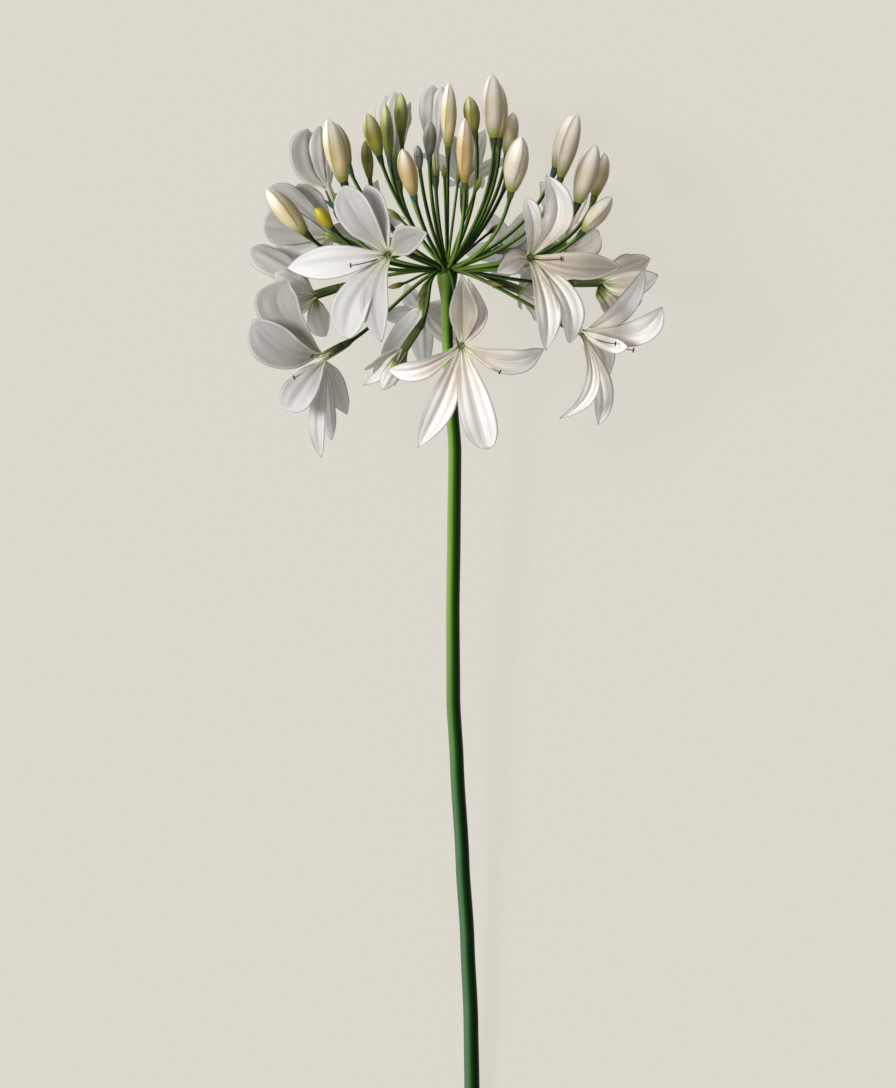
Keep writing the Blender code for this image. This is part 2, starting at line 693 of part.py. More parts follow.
def bloom(name, throat, facing, petals, draw, lying):
    """One open flower: a funnel with a hollow throat, and six petals that leave its mouth and bend back."""
    throat = Vector(throat)
    facing = Vector(facing).normalized()
    place = Matrix.Translation(throat - facing * TUBE_LENGTH) @ frame_towards(facing)
    profile = (
        (NODE_GAP / 2, TUBE_FOOT_RADIUS),
        (TUBE_LENGTH * 0.5, TUBE_FOOT_RADIUS * 1.2),
        (TUBE_LENGTH, THROAT_RADIUS),
        (TUBE_LENGTH, THROAT_RADIUS - 0.8),
        (TUBE_LENGTH - 4.5, 0.9),
    )
    pieces = [moved(turned("tube", profile, TUBE_SIDES), place)]
    in_front = name in LONG_STAMENS
    steps = PETAL_STEPS if in_front else REAR_PETAL_STEPS
    face = Vector(PETAL_FACES.get(name, facing)).normalized()
    for root, handle, tip, width, blunt in petal_lines(name, throat, facing, petals, draw):
        pieces.append(petal(root, handle, tip, face, width, blunt, steps))
    if in_front:
        pieces += stamens(throat, facing, LONG_STAMENS[name])
    obj = union(name, pieces)
    seat(obj, place, lying, "petal_white")


def main():
    clear_scene()
    lying = bpy.data.objects.new("lying_flower", None)
    bpy.context.scene.collection.objects.link(lying)
    shown = LYING.copy()
    shown.translation *= MM
    lying.matrix_basis = shown
    stem(lying)
    stalks(lying)
    for name, (foot, tip, width, colour) in BUDS.items():
        bud(name, foot, tip, width, colour, lying)
    draw = random.Random(SEED)
    for name, (throat, facing, petals) in BLOOMS.items():
        bloom(name, throat, facing, petals, draw, lying)


main()
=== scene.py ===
# %% [markdown]
# # A white agapanthus, laid on its back
# An agapanthus head is an umbel: every flower stalk starts from one point, the hub, at the top of a
# long bare stem. The solid model gives the true places and sizes, and each of its nodes is replaced here
# by a finer piece that keeps its form. Everything could be sculpted by hand, but a flower is mostly
# repeats of one petal, one bud and one stalk. So each is made once by a small function, and tables say
# where they go.

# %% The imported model
import math
import random

import bmesh
import bpy
from mathutils import Matrix, Vector


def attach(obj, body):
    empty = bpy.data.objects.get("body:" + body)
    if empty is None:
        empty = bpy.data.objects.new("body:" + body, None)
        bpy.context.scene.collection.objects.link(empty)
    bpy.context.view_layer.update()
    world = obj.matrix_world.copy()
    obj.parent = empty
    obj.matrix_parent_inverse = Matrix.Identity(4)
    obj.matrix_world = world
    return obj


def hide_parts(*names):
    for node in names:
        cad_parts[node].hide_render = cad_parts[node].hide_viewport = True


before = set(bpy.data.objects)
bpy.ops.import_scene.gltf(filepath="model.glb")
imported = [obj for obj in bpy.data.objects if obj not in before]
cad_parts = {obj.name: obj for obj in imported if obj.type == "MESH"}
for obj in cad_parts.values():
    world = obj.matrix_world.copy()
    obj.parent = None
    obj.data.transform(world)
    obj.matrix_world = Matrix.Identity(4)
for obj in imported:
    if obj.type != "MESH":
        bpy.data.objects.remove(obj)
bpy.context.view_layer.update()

# %% [markdown]
# ## The flower's own frame
# It is easiest to think of the flower as it grew: upright, with its hub at the origin, X to the right,
# Y along the stem towards the buds and Z out of the front, all in millimetres. One matrix then leans it
# back until it rests on the surface, and turns millimetres into metres.

# %% The matrix that lays the flower down
MM = 0.001
STEM_LENGTH = 408.0
STEM_END_RADIUS = 3.5
HUB_RIGHT, HUB_FORWARD, HUB_HEIGHT = -4.0, 160.3, 52.0
LEAN = math.asin((HUB_HEIGHT - STEM_END_RADIUS) / STEM_LENGTH)
LYING = Matrix.Translation((HUB_RIGHT, HUB_FORWARD, HUB_HEIGHT)) @ Matrix.Rotation(LEAN, 4, "X")
PLACE = Matrix.Scale(MM, 4) @ LYING
UPRIGHT = LYING.inverted()
print("the stem leans back", round(math.degrees(LEAN), 2), "degrees")

# %% [markdown]
# ## Paint box
# Colours are read from a paint chart as hex numbers, which are meant for a screen. A shader works with
# linear light, so one function turns them. Another adds a node with its settings and links, so that a
# material reads as a list of what is done to the colour. The inputs of Math and Mix nodes share their
# names, so they go by number: a Math node's are 0, 1 and 2, and a Mix of colours has its share at 0 and
# its two colours at 6 and 7.

# %% Colours and nodes
def linear(code):
    """A screen colour such as "F4F1EA" as linear red, green, blue and alpha."""
    shares = [int(code[i : i + 2], 16) / 255 for i in (0, 2, 4)]
    turned = [s / 12.92 if s <= 0.04045 else ((s + 0.055) / 1.055) ** 2.4 for s in shares]
    return (*turned, 1.0)


def plug(node, inputs):
    """Sets inputs by name or number: to a value, from a socket, or from a node's first output in use."""
    for name, value in inputs.items():
        if isinstance(value, bpy.types.Node):
            value = next(output for output in value.outputs if output.enabled)
        if isinstance(value, bpy.types.NodeSocket):
            node.id_data.links.new(value, node.inputs[name])
        else:
            node.inputs[name].default_value = value


def add(tree, kind, inputs=None, stops=None, **settings):
    """Adds a node with its inputs and settings. A ramp's stops give a colour or a grey for each place."""
    node = tree.nodes.new("ShaderNode" + kind)
    for name, value in settings.items():
        setattr(node, name, value)
    for number, (place, colour) in enumerate((stops or {}).items()):
        ramp = node.color_ramp.elements
        stop = ramp[number] if number < 2 else ramp.new(place)
        stop.position = place
        stop.color = linear(colour) if isinstance(colour, str) else (colour, colour, colour, 1.0)
    plug(node, inputs or {})
    return node


def new_material(name, marks=()):
    """A new material, its node tree and shader, and a socket for each mark that it reads off a piece."""
    material = bpy.data.materials.new(name)
    material.use_nodes = True
    tree = material.node_tree
    read = [add(tree, "Attribute", attribute_name=mark).outputs["Fac"] for mark in marks]
    return material, tree, tree.nodes["Principled BSDF"], read


print("a mid grey is", round(linear("808080")[0], 3), "in linear light")

# %% [markdown]
# ## Sheets
# Petals, stalks and the stem all start as a flat grid. A grid brings a UV map with it, so a vein or a
# fibre can follow the surface, and one function per piece says where each of its points goes. Rolled
# round, the same grid is a tube. Marks are numbers kept on the points, such as how near a petal's margin
# is, which the materials read later.

# %% Sheet and piece helpers
WELD = 0.001


def blank(*marks):
    bm = bmesh.new()
    bm.loops.layers.uv.new("UVMap")
    for mark in marks:
        bm.verts.layers.float.new(mark)
    return bm


def sheet(bm, columns, rows, place):
    """Adds a grid and bends it. place(across, along) gives a point and its marks; both run 0 to 1."""
    grid = bmesh.ops.create_grid(bm, x_segments=columns, y_segments=rows, size=1.0, calc_uvs=True)
    for vert in grid["verts"]:
        vert.co, marks = place((vert.co.x + 1) / 2, (vert.co.y + 1) / 2)
        for mark, value in marks.items():
            vert[bm.verts.layers.float[mark]] = value
    return grid["verts"]


def close(bm, verts):
    """Welds a rolled sheet's seam, fills its two ends and turns its faces outwards. Gives the ends."""
    bmesh.ops.remove_doubles(bm, verts=verts, dist=WELD)
    verts = [vert for vert in verts if vert.is_valid]
    rims = dict.fromkeys(edge for vert in verts for edge in vert.link_edges if edge.is_boundary)
    ends = bmesh.ops.holes_fill(bm, edges=list(rims))["faces"]
    faces = dict.fromkeys(face for vert in verts for face in vert.link_faces)
    bmesh.ops.recalc_face_normals(bm, faces=list(faces))
    return ends


def spun(bm, outline, axis, steps):
    """Turns an outline, with both its ends on the axis, into a closed skin."""
    verts = [bm.verts.new(point) for point in outline]
    edges = [bm.edges.new(pair) for pair in zip(verts, verts[1:])]
    settings = {"cent": (0, 0, 0), "dvec": (0, 0, 0), "use_merge": True, "use_duplicate": False}
    bmesh.ops.spin(bm, geom=verts + edges, axis=axis, angle=math.tau, steps=steps, **settings)
    bmesh.ops.remove_doubles(bm, verts=bm.verts, dist=WELD)
    bmesh.ops.recalc_face_normals(bm, faces=bm.faces)


def piece(bm, name, materials, node):
    """Lays a finished bmesh down with the flower, and puts it in the node's place."""
    bmesh.ops.transform(bm, matrix=PLACE, verts=bm.verts)
    mesh = bpy.data.meshes.new(name)
    bm.to_mesh(mesh)
    bm.free()
    mesh.shade_smooth()
    for material in materials:
        mesh.materials.append(material)
    obj = bpy.data.objects.new(name, mesh)
    bpy.context.scene.collection.objects.link(obj)
    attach(obj, "root")
    if node:
        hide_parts(node)
    return obj


# %% Curves and directions
def smooth(low, high, value):
    """0 at low, 1 at high and an easy rise between them. Low may be the larger."""
    share = min(1.0, max(0.0, (value - low) / (high - low)))
    return share * share * (3.0 - 2.0 * share)


def hump(away, width):
    """1 where away is 0, with an easy fall on both sides."""
    return math.exp(-((away / width) ** 2))


def through(stops, value):
    """A value read from (place, value) stops, with an easy curve between them."""
    for (start, a), (end, b) in zip(stops, stops[1:]):
        if value <= end:
            return a + (b - a) * smooth(start, end, value)
    return stops[-1][1]


def bezier(start, handle, end, share):
    rest = 1.0 - share
    return start * rest * rest + handle * 2.0 * rest * share + end * share * share


def cubic(start, first, second, end, share):
    return bezier(start, first, second, share).lerp(bezier(first, second, end, share), share)


def spoke(angle):
    """A step of length 1 at that angle, from X towards Y."""
    return Vector((math.cos(angle), math.sin(angle), 0.0))


def towards(direction):
    """A rotation whose local Z points along the direction."""
    return Vector(direction).normalized().to_track_quat("Z", "Y").to_matrix()


print("half way up an easy rise is", smooth(0, 1, 0.5))

# %% [markdown]
# ## Stem
# The scape is a smooth, solid green stalk, a little flattened, that widens just under the hub. Its skin
# has fine fibres that run its whole length. It is a grid rolled round the centre line, with low ridges
# pressed into it, and a straight cut at the lower end. The side towards the key light is painted paler
# and the far side darker, as painted light and shade.

# %% The stem's measurements
# Right, down and radius, from under the hub to the cut
STEM_LINE = (
    (0.2, -2.3, 4.7), (0.1, -5.2, 4.5), (0.0, -8.9, 3.6), (-0.2, -13.5, 2.65), (0.2, -31.5, 2.6),
    (1.9, -56.0, 2.8), (3.6, -81.0, 3.0), (3.2, -117.0, 3.1), (2.7, -153.0, 3.1), (2.9, -193.5, 3.2),
    (4.5, -222.0, 3.2), (7.0, -265.5, 3.2), (9.2, -301.5, 3.3), (10.8, -337.5, 3.4), (11.3, -370.0, 3.5),
    (11.4, -STEM_LENGTH, STEM_END_RADIUS),
)
STEM_TOP = -0.6
STEM_COLUMNS = 48
STEM_ROWS = 150
# The power by which its rows lie closer together near the hub
ROW_GROWTH = 1.5
STEM_FLATNESS = 0.99
STEM_SKIN = 0.985
# How many low ridges run along it, and how high they are as a share of the radius
WIDE_RIDGES, WIDE_HEIGHT = 5, 0.012
FINE_RIDGES, FINE_HEIGHT = 17, 0.004
RIDGE_TURN = 0.4
# Painted light added under the hub, where the flowers shade the neck
NECK_PAINTED_LIGHT = 0.14


def stem_at(along):
    """The centre line and radius at a distance below the hub."""
    for (x0, y0, r0), (x1, y1, r1) in zip(STEM_LINE, STEM_LINE[1:]):
        if y1 <= along < y0:
            share = (along - y0) / (y1 - y0)
            eased = (smooth(0, 1, share) + share) / 2
            return Vector((x0 + (x1 - x0) * eased, along, 0)), r0 + (r1 - r0) * eased
    right, _, radius = STEM_LINE[0 if along >= STEM_LINE[0][1] else -1]
    return Vector((right, along, 0)), radius


def stem_point(across, along):
    depth = STEM_TOP - (STEM_LENGTH + STEM_TOP) * along**ROW_GROWTH
    centre, radius = stem_at(depth)
    angle = math.tau * across
    radius *= (
        STEM_SKIN
        - WIDE_HEIGHT * math.cos(WIDE_RIDGES * angle + RIDGE_TURN)
        - FINE_HEIGHT * math.cos(FINE_RIDGES * angle)
    )
    out = Vector((math.cos(angle), 0, math.sin(angle) * STEM_FLATNESS))
    down = -depth / STEM_LENGTH
    # The mark for painted light and shade: high on the side towards the key light, low on the far side,
    # and raised under the hub as painted light
    painted_light = 0.5 - 0.5 * math.cos(angle) + NECK_PAINTED_LIGHT * smooth(0.2, 0.04, down)
    return centre + out * radius, {"painted_light": painted_light, "down": down}


# %% [markdown]
# ### Stem skin
# Living plant skin: a waxy cuticle over green flesh. The wax gives a soft, wide highlight, so roughness
# is near 0.4 with an IOR of 1.45. Across the stem it is painted deep green on the side away from the key
# light and yellow-green on the side towards it, as painted light and shade, with a painted reflection
# that lightens the shaded edge. Under the hub it is painted paler and yellower, painted light where the
# flowers shade it, and it is a deeper, bluer green lower down. Fibres are about 0.4 mm apart, drawn as
# noise stretched along the UV map. The cut face is wet, pale flesh with the dots of the veins that ran
# up to the flowers.

# %% Patterns that all the living skins share
def grain(tree, where, scale, detail=3.0):
    """Noise drawn out into lines. High numbers in the scale set them close, low ones make them long."""
    stretched = add(tree, "Mapping", {"Vector": where, "Scale": scale})
    return add(tree, "TexNoise", {"Vector": stretched, "Scale": 1.0, "Detail": detail})


def share_of(tree, *parts):
    """Parts multiplied together. A part is a value, or a value with the range over which it goes from
    0 to 1 and, if need be, two other ends than 0 and 1."""
    names = ("Value", "From Min", "From Max", "To Min", "To Max")
    shares = []
    for part in parts:
        ranged = isinstance(part, tuple)
        shares.append(add(tree, "MapRange", dict(zip(names, part))) if ranged else part)
    while len(shares) > 1:
        shares[:2] = [add(tree, "Math", dict(enumerate(shares[:2])), operation="MULTIPLY")]
    return shares[0]


def darkened(tree, colour, pattern, low, high, grey, share=1.0):
    """The colour, darkened by a grey where the pattern is low and left as it is where it is high."""
    tone = add(tree, "ValToRGB", {"Fac": pattern}, {low: grey, high: 1.0})
    return add(tree, "Mix", {0: share, 6: colour, 7: tone}, data_type="RGBA", blend_type="MULTIPLY")


def cover(tree, shader, colour, pattern, rough, strength=0.0, height=0.0):
    """The shader's colour, a roughness between two values and a bump of a height in metres."""
    roughness = add(tree, "MapRange", {"Value": pattern, "To Min": rough[0], "To Max": rough[1]})
    plug(shader, {"Base Color": colour, "Roughness": roughness})
    if height:
        relief = add(tree, "Bump", {"Height": pattern, "Strength": strength, "Distance": height})
        plug(shader, {"Normal": relief})


# %% Stem materials
STEM_MARKS = ("painted_light", "down")
# Its painted shade and light, from the shaded side to the lit one, in its upper part and lower down.
# The lighter first stop is a painted reflection along the shaded edge
UPPER_STEM_PAINTED_LIGHT = {
    0.06: "3E4A2C", 0.16: "16290A", 0.34: "0F2A01", 0.58: "2A5600", 0.74: "669020", 0.93: "86A258",
}
LOWER_STEM_PAINTED_LIGHT = {
    0.06: "2A3222", 0.16: "0A1803", 0.34: "051C04", 0.52: "10380F", 0.66: "245426", 0.77: "467446",
    0.93: "566E54",
}


def stem_skin():
    material, tree, shader, (painted_light, down) = new_material("scape_waxy_skin", STEM_MARKS)
    upper = add(tree, "ValToRGB", {"Fac": painted_light}, UPPER_STEM_PAINTED_LIGHT)
    lower = add(tree, "ValToRGB", {"Fac": painted_light}, LOWER_STEM_PAINTED_LIGHT)
    body = add(tree, "Mix", {0: share_of(tree, (down, 0.36, 0.6)), 6: upper, 7: lower}, data_type="RGBA")
    # Painted light: the lit side of the neck under the hub is painted paler and yellower
    neck_light_share = share_of(tree, (down, 0.17, 0.06), (painted_light, 0.4, 0.95))
    neck_lit = add(tree, "Mix", {0: neck_light_share, 6: body, 7: linear("95BE5A")}, data_type="RGBA")
    lines = grain(tree, add(tree, "TexCoord").outputs["UV"], (46.0, 9.0, 1.0))
    colour = darkened(tree, neck_lit, lines, 0.3, 0.7, 0.78)
    cover(tree, shader, colour, lines, (0.34, 0.5), 0.25, 0.0002)
    plug(shader, {"IOR": 1.45, "Specular IOR Level": 0.1})
    return material


def cut_flesh():
    material, tree, shader, _ = new_material("scape_cut_flesh")
    where = add(tree, "TexCoord").outputs["Object"]
    dots = add(tree, "TexVoronoi", {"Vector": where, "Scale": 1400.0})
    colour = add(tree, "ValToRGB", {"Fac": dots}, {0.12: "6F8A3C", 0.3: "C9D6A0", 0.8: "DCE5BD"})
    cover(tree, shader, colour, dots, (0.3, 0.5))
    return material


# %% The stem
def make_stem():
    bm = blank(*STEM_MARKS)
    for end in close(bm, sheet(bm, STEM_COLUMNS, STEM_ROWS, stem_point)):
        end.material_index = int(end.calc_center_median().y < STEM_LINE[0][1])
    obj = piece(bm, "scape", [stem_skin(), cut_flesh()], "stem")
    for polygon in obj.data.polygons:
        polygon.use_smooth = len(polygon.vertices) == 4
    return obj


print("stem faces", len(make_stem().data.polygons))

# %% [markdown]
# ## Where the buds and flowers are
# Each bud has a foot, a tip, a width and a colour. Each flower has a throat, the way that it faces, and
# six petals, given as a point half way along, a tip and a width. The flowers at the back, which hide
# behind the head, follow a plain rule with a seeded draw instead: a turn, a spread and a reach.

# %% The buds
BUDS = {
    "left_low": ((-64, 17, 12), (-81, 36, 20), 10.0, "cream"),
    "left_small": ((-52, 19, 29), (-59, 27, 34), 6.3, "yellow"),
    "left_high": ((-46.5, 39.5, 22), (-53.5, 67.5, 28), 10.5, "cream"),
    "left_high_rear": ((-44.6, 47.3, 5), (-51.4, 66.3, 6), 8.5, "cream"),
    "olive_left": ((-30.5, 51.5, 19), (-36, 70, 24), 8.0, "olive"),
    "green_slender": ((-26, 50.5, 5), (-28, 75, 6), 6.0, "green"),
    "green_high": ((-20.5, 60, -4), (-21, 80, -6), 6.4, "green"),
    "pale_rear": ((-34.8, 41.5, -6), (-37, 58.5, -9), 5.4, "olive"),
    "peach_front": ((-15, 33.5, 50), (-20, 53, 65), 8.6, "peach"),
    "grey_small": ((-12.2, 45.2, 28), (-13.4, 55.5, 32), 4.4, "grey"),
    "grey_middle": ((-7.8, 51, 32), (-7.6, 66, 41), 6.2, "grey"),
    "cream_tall": ((0.5, 55.5, 8), (0.9, 84, 10), 7.4, "cream"),
    "olive_top": ((12.5, 62.5, 2), (9.8, 78, 3), 7.4, "olive"),
    "peach_middle": ((8.1, 38.8, 44), (8, 67, 52), 7.8, "peach"),
    "white_top": ((21, 59.5, 14), (20.2, 87.8, 18), 9.8, "white"),
    "white_top_rear": ((23.6, 59.5, -2), (23, 84.5, -4), 8.4, "cream"),
    "cream_right_rear": ((27, 52.5, -17), (30, 71.5, -22), 7.4, "cream"),
    "white_right_front": ((28.8, 35, 44), (33.2, 59, 52), 11.0, "white"),
    "right_high": ((51.2, 41.8, 6), (58.6, 70.8, 8), 8.4, "white"),
    "right_high_rear": ((48.8, 46, -4), (56.4, 70, -5), 8.4, "white"),
    "right_middle": ((59, 30.5, 14), (66.5, 56.5, 20), 10.4, "white"),
    "right_middle_rear": ((66.5, 33.8, -3), (71, 53, -4), 8.4, "cream"),
    "right_low": ((61.5, 17.5, 16), (74, 32.5, 22), 8.4, "white"),
    "back_top": ((22, 53, -27), (24, 76, -35), 8.4, "cream"),
    "back_left": ((-46.5, 42, -36), (-52, 58, -46), 7.0, "olive"),
    "back_right": ((27, 40, -32), (34, 58, -42), 7.6, "green"),
}

# %% The open flowers
BLOOMS = {
    "front_left": ((-26, 6, 56), (-0.30, -0.05, 0.95), (
        ((-38.5, 21, 63), (-46.6, 36.5, 59), 16.5), ((-49, 3, 62), (-71.5, 0, 54), 15),
        ((-40.8, -13, 63), (-45, -31.5, 57), 17), ((-32, -12.5, 66), (-29.2, -33, 62), 13),
        ((-19.5, 11.5, 71), (-8.8, 15.2, 81), 13), ((-31, 23, 58), (-36, 37, 50), 12),
    )),
    "front_right": ((37, 4.5, 54), (0.42, 0.05, 0.90), (
        ((49, 22.5, 62), (44.5, 41.5, 54), 15), ((38.5, 18.5, 66), (35, 31, 72), 9),
        ((30, 2.5, 66), (22.5, -2.5, 76), 10), ((56, 1, 66), (78, 0.6, 60), 12.5),
        ((44.3, -16, 64), (44.2, -36.8, 57), 12.5), ((53, -13, 60), (55, -33.5, 50), 12.5),
    )),
    "front_low": ((6.5, -34.5, 50), (0.05, -0.45, 0.89), (
        ((7.4, -20, 54), (6.4, -2.2, 44), 13), ((12, -21, 49.5), (9.5, -4.5, 38), 12),
        ((-11.5, -45, 56), (-26.5, -45, 50), 10.5), ((26.5, -41.5, 52), (43.5, -36, 41), 13),
        ((-1.5, -58, 55), (-13, -80, 44), 13), ((11.5, -57, 55), (18.5, -81, 42), 15.5),
    )),
    "right_low": ((60, -28, 12), (0.78, -0.40, 0.48), (
        ((77.5, -19, 24), (88.6, 0.5, 20), 10), ((83, -29, 26), (96.5, -17, 24), 12),
        ((72, -33.5, 29), (81, -35, 36), 7), ((65, -51.5, 22), (50.5, -67, 16), 7.5),
        ((69.3, -50.5, 10), (68, -69.6, 4), 9.5), ((70, -36, -5), (70, -51, -17), 10),
    )),
    "left_low": ((-55, -39, 16), (-0.72, -0.42, 0.55), (
        ((-74.5, -18.5, 21), (-71.5, -4, 15), 21), ((-73.1, -36.5, 28), (-87.5, -23, 26), 19.4),
        ((-63.5, -51.5, 31), (-71.5, -63.5, 35), 15), ((-58, -63, 20), (-56.4, -84.4, 10), 7.6),
        ((-50.5, -50.5, 8), (-45, -65, -1), 10), ((-54, -58, 11), (-52, -76.5, 3), 8),
    )),
    "right_rear": ((68, -5.5, -12), (0.97, 0.03, -0.24), (
        ((79.5, 0.8, -9), (91.5, 5.3, -12), 10), ((80, -6.5, -4), (95, -2.2, -6), 12),
        ((71.5, -13.5, -8), (74.5, -20, -10), 10), ((79, -11, -20), (88, -13, -30), 10),
        ((80, -3, -26), (89, 0, -38), 10), ((78, 2, -21), (86, 4, -30), 9),
    )),
    "left_middle": ((-59, -11, -7), (-0.93, -0.28, -0.22), (
        ((-74, 1.5, -9), (-88.6, 9.5, -12), 14), ((-72, -17, 2), (-84, -20, 2), 12),
        ((-58, -20, -9), (-54.5, -29.5, -13), 12), ((-70, -17, -22), (-80, -20, -34), 11),
        ((-68, -9, -21), (-75, -11, -33), 10), ((-68, -6, 3), (-78, -2, 6), 10),
    )),
    "left_rear": ((-53, 16, -18), (-0.80, 0.35, -0.48), (
        ((-68, 28, -17), (-81.5, 36.5, -19), 16), ((-69, 19, -14), (-83, 21, -12), 17),
        ((-66, 12, -20), (-78.5, 10, -26), 14), ((-60, 27, -24), (-67, 39.2, -27), 15),
        ((-64, 20, -35), (-74, 25, -49), 12), ((-58, 8, -31), (-66, 1, -44), 12),
    )),
    "left_half_open": ((-54, 37, -14.5), (-0.38, 0.90, -0.20), (
        ((-62.3, 47.5, -14), (-63, 63.8, -15), 15.5), ((-56.5, 50, -8), (-57.3, 65, -7), 10.5),
        ((-52.5, 51, -11), (-52.5, 64, -12), 8.5), ((-54, 50, -20), (-53, 63, -26), 8),
        ((-58, 49, -25), (-58.5, 61, -33), 8), ((-62, 47, -22), (-64, 59, -29), 9),
    )),
    "top_half_open": ((-5.6, 54, -14), (-0.03, 0.99, -0.08), (
        ((-7.2, 68.5, -10), (-6.3, 83.3, -11), 10.4), ((-3, 70, -9), (-2.2, 82.5, -9), 8),
        ((0.5, 72, -15), (2, 81, -17), 7), ((-2.5, 72, -20), (-1, 80, -24), 7),
        ((-7.5, 72, -20), (-7.5, 80, -24), 7), ((-9.6, 71.5, -15), (-9.8, 80, -18), 6.5),
    )),
    "upper_left_half_open": ((-23.5, 52, -20), (-0.14, 0.97, -0.18), (
        ((-27.2, 65, -17), (-27.6, 78.5, -17), 9), ((-23.5, 66, -14), (-23.4, 80.5, -13), 8.5),
        ((-18.5, 64, -18), (-16.5, 76, -19), 7.5), ((-19, 63, -25), (-17, 73, -30), 7.5),
        ((-25, 63, -27), (-25, 73, -33), 7.5), ((-28, 63, -23), (-29, 74, -27), 7.5),
    )),
    "right_upper_rear": ((53, 12, -20), (0.72, 0.30, -0.60), (
        ((58.5, 12, -10), (68.3, 17.5, -8), 17), ((47, 27, -19), (42, 40, -23), 12),
        ((58, 28, -26), (61, 41, -32), 11), ((60, 11, -33), (66, 9, -44), 11),
        ((56, 2, -32), (60, -6, -42), 11), ((50, 17, -36), (50, 20, -49), 11),
    )),
    "stem_right": ((33, -9, -19), (0.72, -0.28, -0.63), (
        ((39, -17, -24), (45, -27, -31), 12), ((43, -9, -24), (53, -11, -29), 11),
        ((41, -4, -31), (48, -1, -41), 10), ((34, -4, -34), (35, -1, -47), 10),
        ((33, -11, -36), (34, -14, -50), 10), ((37, -15, -34), (41, -21, -46), 10),
    )),
    "stem_left": ((-19, -35.5, 0), (-0.56, -0.83, 0.02), (
        ((-27.5, -43, 3), (-37.5, -52, 4), 8.5), ((-24, -45, 6), (-29, -54, 8), 8),
        ((-20.5, -44, 2), (-23.5, -52, 2), 7.5), ((-21.5, -43, -6), (-25, -50, -11), 7.5),
        ((-26, -41, -7), (-33, -47, -12), 7.5), ((-28.5, -39, -2), (-37, -45, -4), 7.5),
    )),
    "back_low": ((-11, -16, -30), (-0.12, -0.50, -0.86), (10, 48, 29)),
    "back_left": ((-34, 18, -38), (-0.35, 0.15, -0.92), (0, 52, 28)),
    "back_top": ((8, 37, -30), (0.02, 0.70, -0.70), (0, 42, 28)),
    "back_right": ((26, 10, -40), (0.25, 0.05, -0.97), (35, 56, 28)),
}

# %% The tiny unopened buds, and the stamens that reach out of a throat
UNOPENED = (
    ((-1.2, 42, 19), (-1.4, 46.5, 21)),
    ((-7.7, -5.9, 9), (-13.6, -13.2, 13)),
    ((5, 40, 18), (5.8, 46, 20)),
    ((13, 36, 22), (15.5, 42, 25)),
    ((-22, 24, -14), (-27, 28, -17)),
    ((20, 18, -20), (24, 21, -25)),
    ((18, -6, 8), (24, -7, 10)),
    ((-20, -7, 2), (-27, -8, 3)),
)
# One more, too small for the solid model, with the tint of its skin
LATE_BUD = ((-48.5, 26.4, 22), (-54.6, 30.8, 25), 0.8)
LONG_STAMENS = {
    "front_left": ((-43, 1, 68),),
    "front_right": ((51, 4, 66),),
    "front_low": ((23.7, -46.5, 60),),
    "right_low": ((75.5, -33.5, 36), (83.5, -36.5, 40)),
    "left_low": ((-60.5, -39, 36), (-68.5, -48.8, 40)),
}
print(len(BUDS), "buds,", len(BLOOMS), "flowers and", len(UNOPENED), "tiny buds")

# %% [markdown]
# ## Flower stalks
# All the stalks leave one hub and spread like the ribs of an umbrella. Each is a thin green tube that
# swells at its end into the cup that a bud or flower sits in. A curve with a bevel would do, but a
# rolled grid keeps a clean UV map and can carry marks: how far out a point is, whether it is in the cup
# and which side faces the key light, for painted light and shade. All of them grew as one body, so they
# are one piece.

# %% Stalk shape
STALK_RADIUS = 0.85
CUP_RADIUS = 1.75
CUP_LENGTH = 5.0
CUP_LIP = 0.9
TUBE_LENGTH = 12.0
STALK_BEND = 0.45
FIRST_SHARE = 0.3
# A stalk that turns lower than this leaves the hub nearly level, by this far out and up
LOW_TURN = 6.0
FIRST_REACH = 12.0
FIRST_RISE = 0.5
THIN_STALK_RADIUS = 0.6
UNOPENED_RADIUS = 1.3
STALK_COLUMNS = 12
STALK_ROWS = 26
# The share of its rows that runs up to the cup, where the shape changes most
BARE_ROWS = 0.62
# A stalk's radius where it leaves the hub, and how far along it is down to its usual one
ROOT_RADIUS = 1.1
ROOT_SHARE = 0.25
# How far to each side its direction is read, as a share of its length
NUDGE = 0.02
CUP_SHAPE = ((0.0, 0.0), (0.25, 0.22), (0.6, 0.75), (0.85, 1.0), (1.0, 0.96))
# An unopened bud closes to a point instead
SPINDLE_SHAPE = ((0.0, 0.0), (0.4, 1.0), (0.7, 0.75), (1.0, -0.75))


def stalk_guides(foot, facing):
    """The two handles of a stalk that leaves the hub outwards and turns to face along its flower."""
    turn = foot - facing * STALK_BEND * foot.length
    first = turn * FIRST_SHARE
    if turn.y < LOW_TURN:
        first = Vector((turn.x, 0.0, turn.z)).normalized() * FIRST_REACH
        first.y = FIRST_RISE
    return first, turn


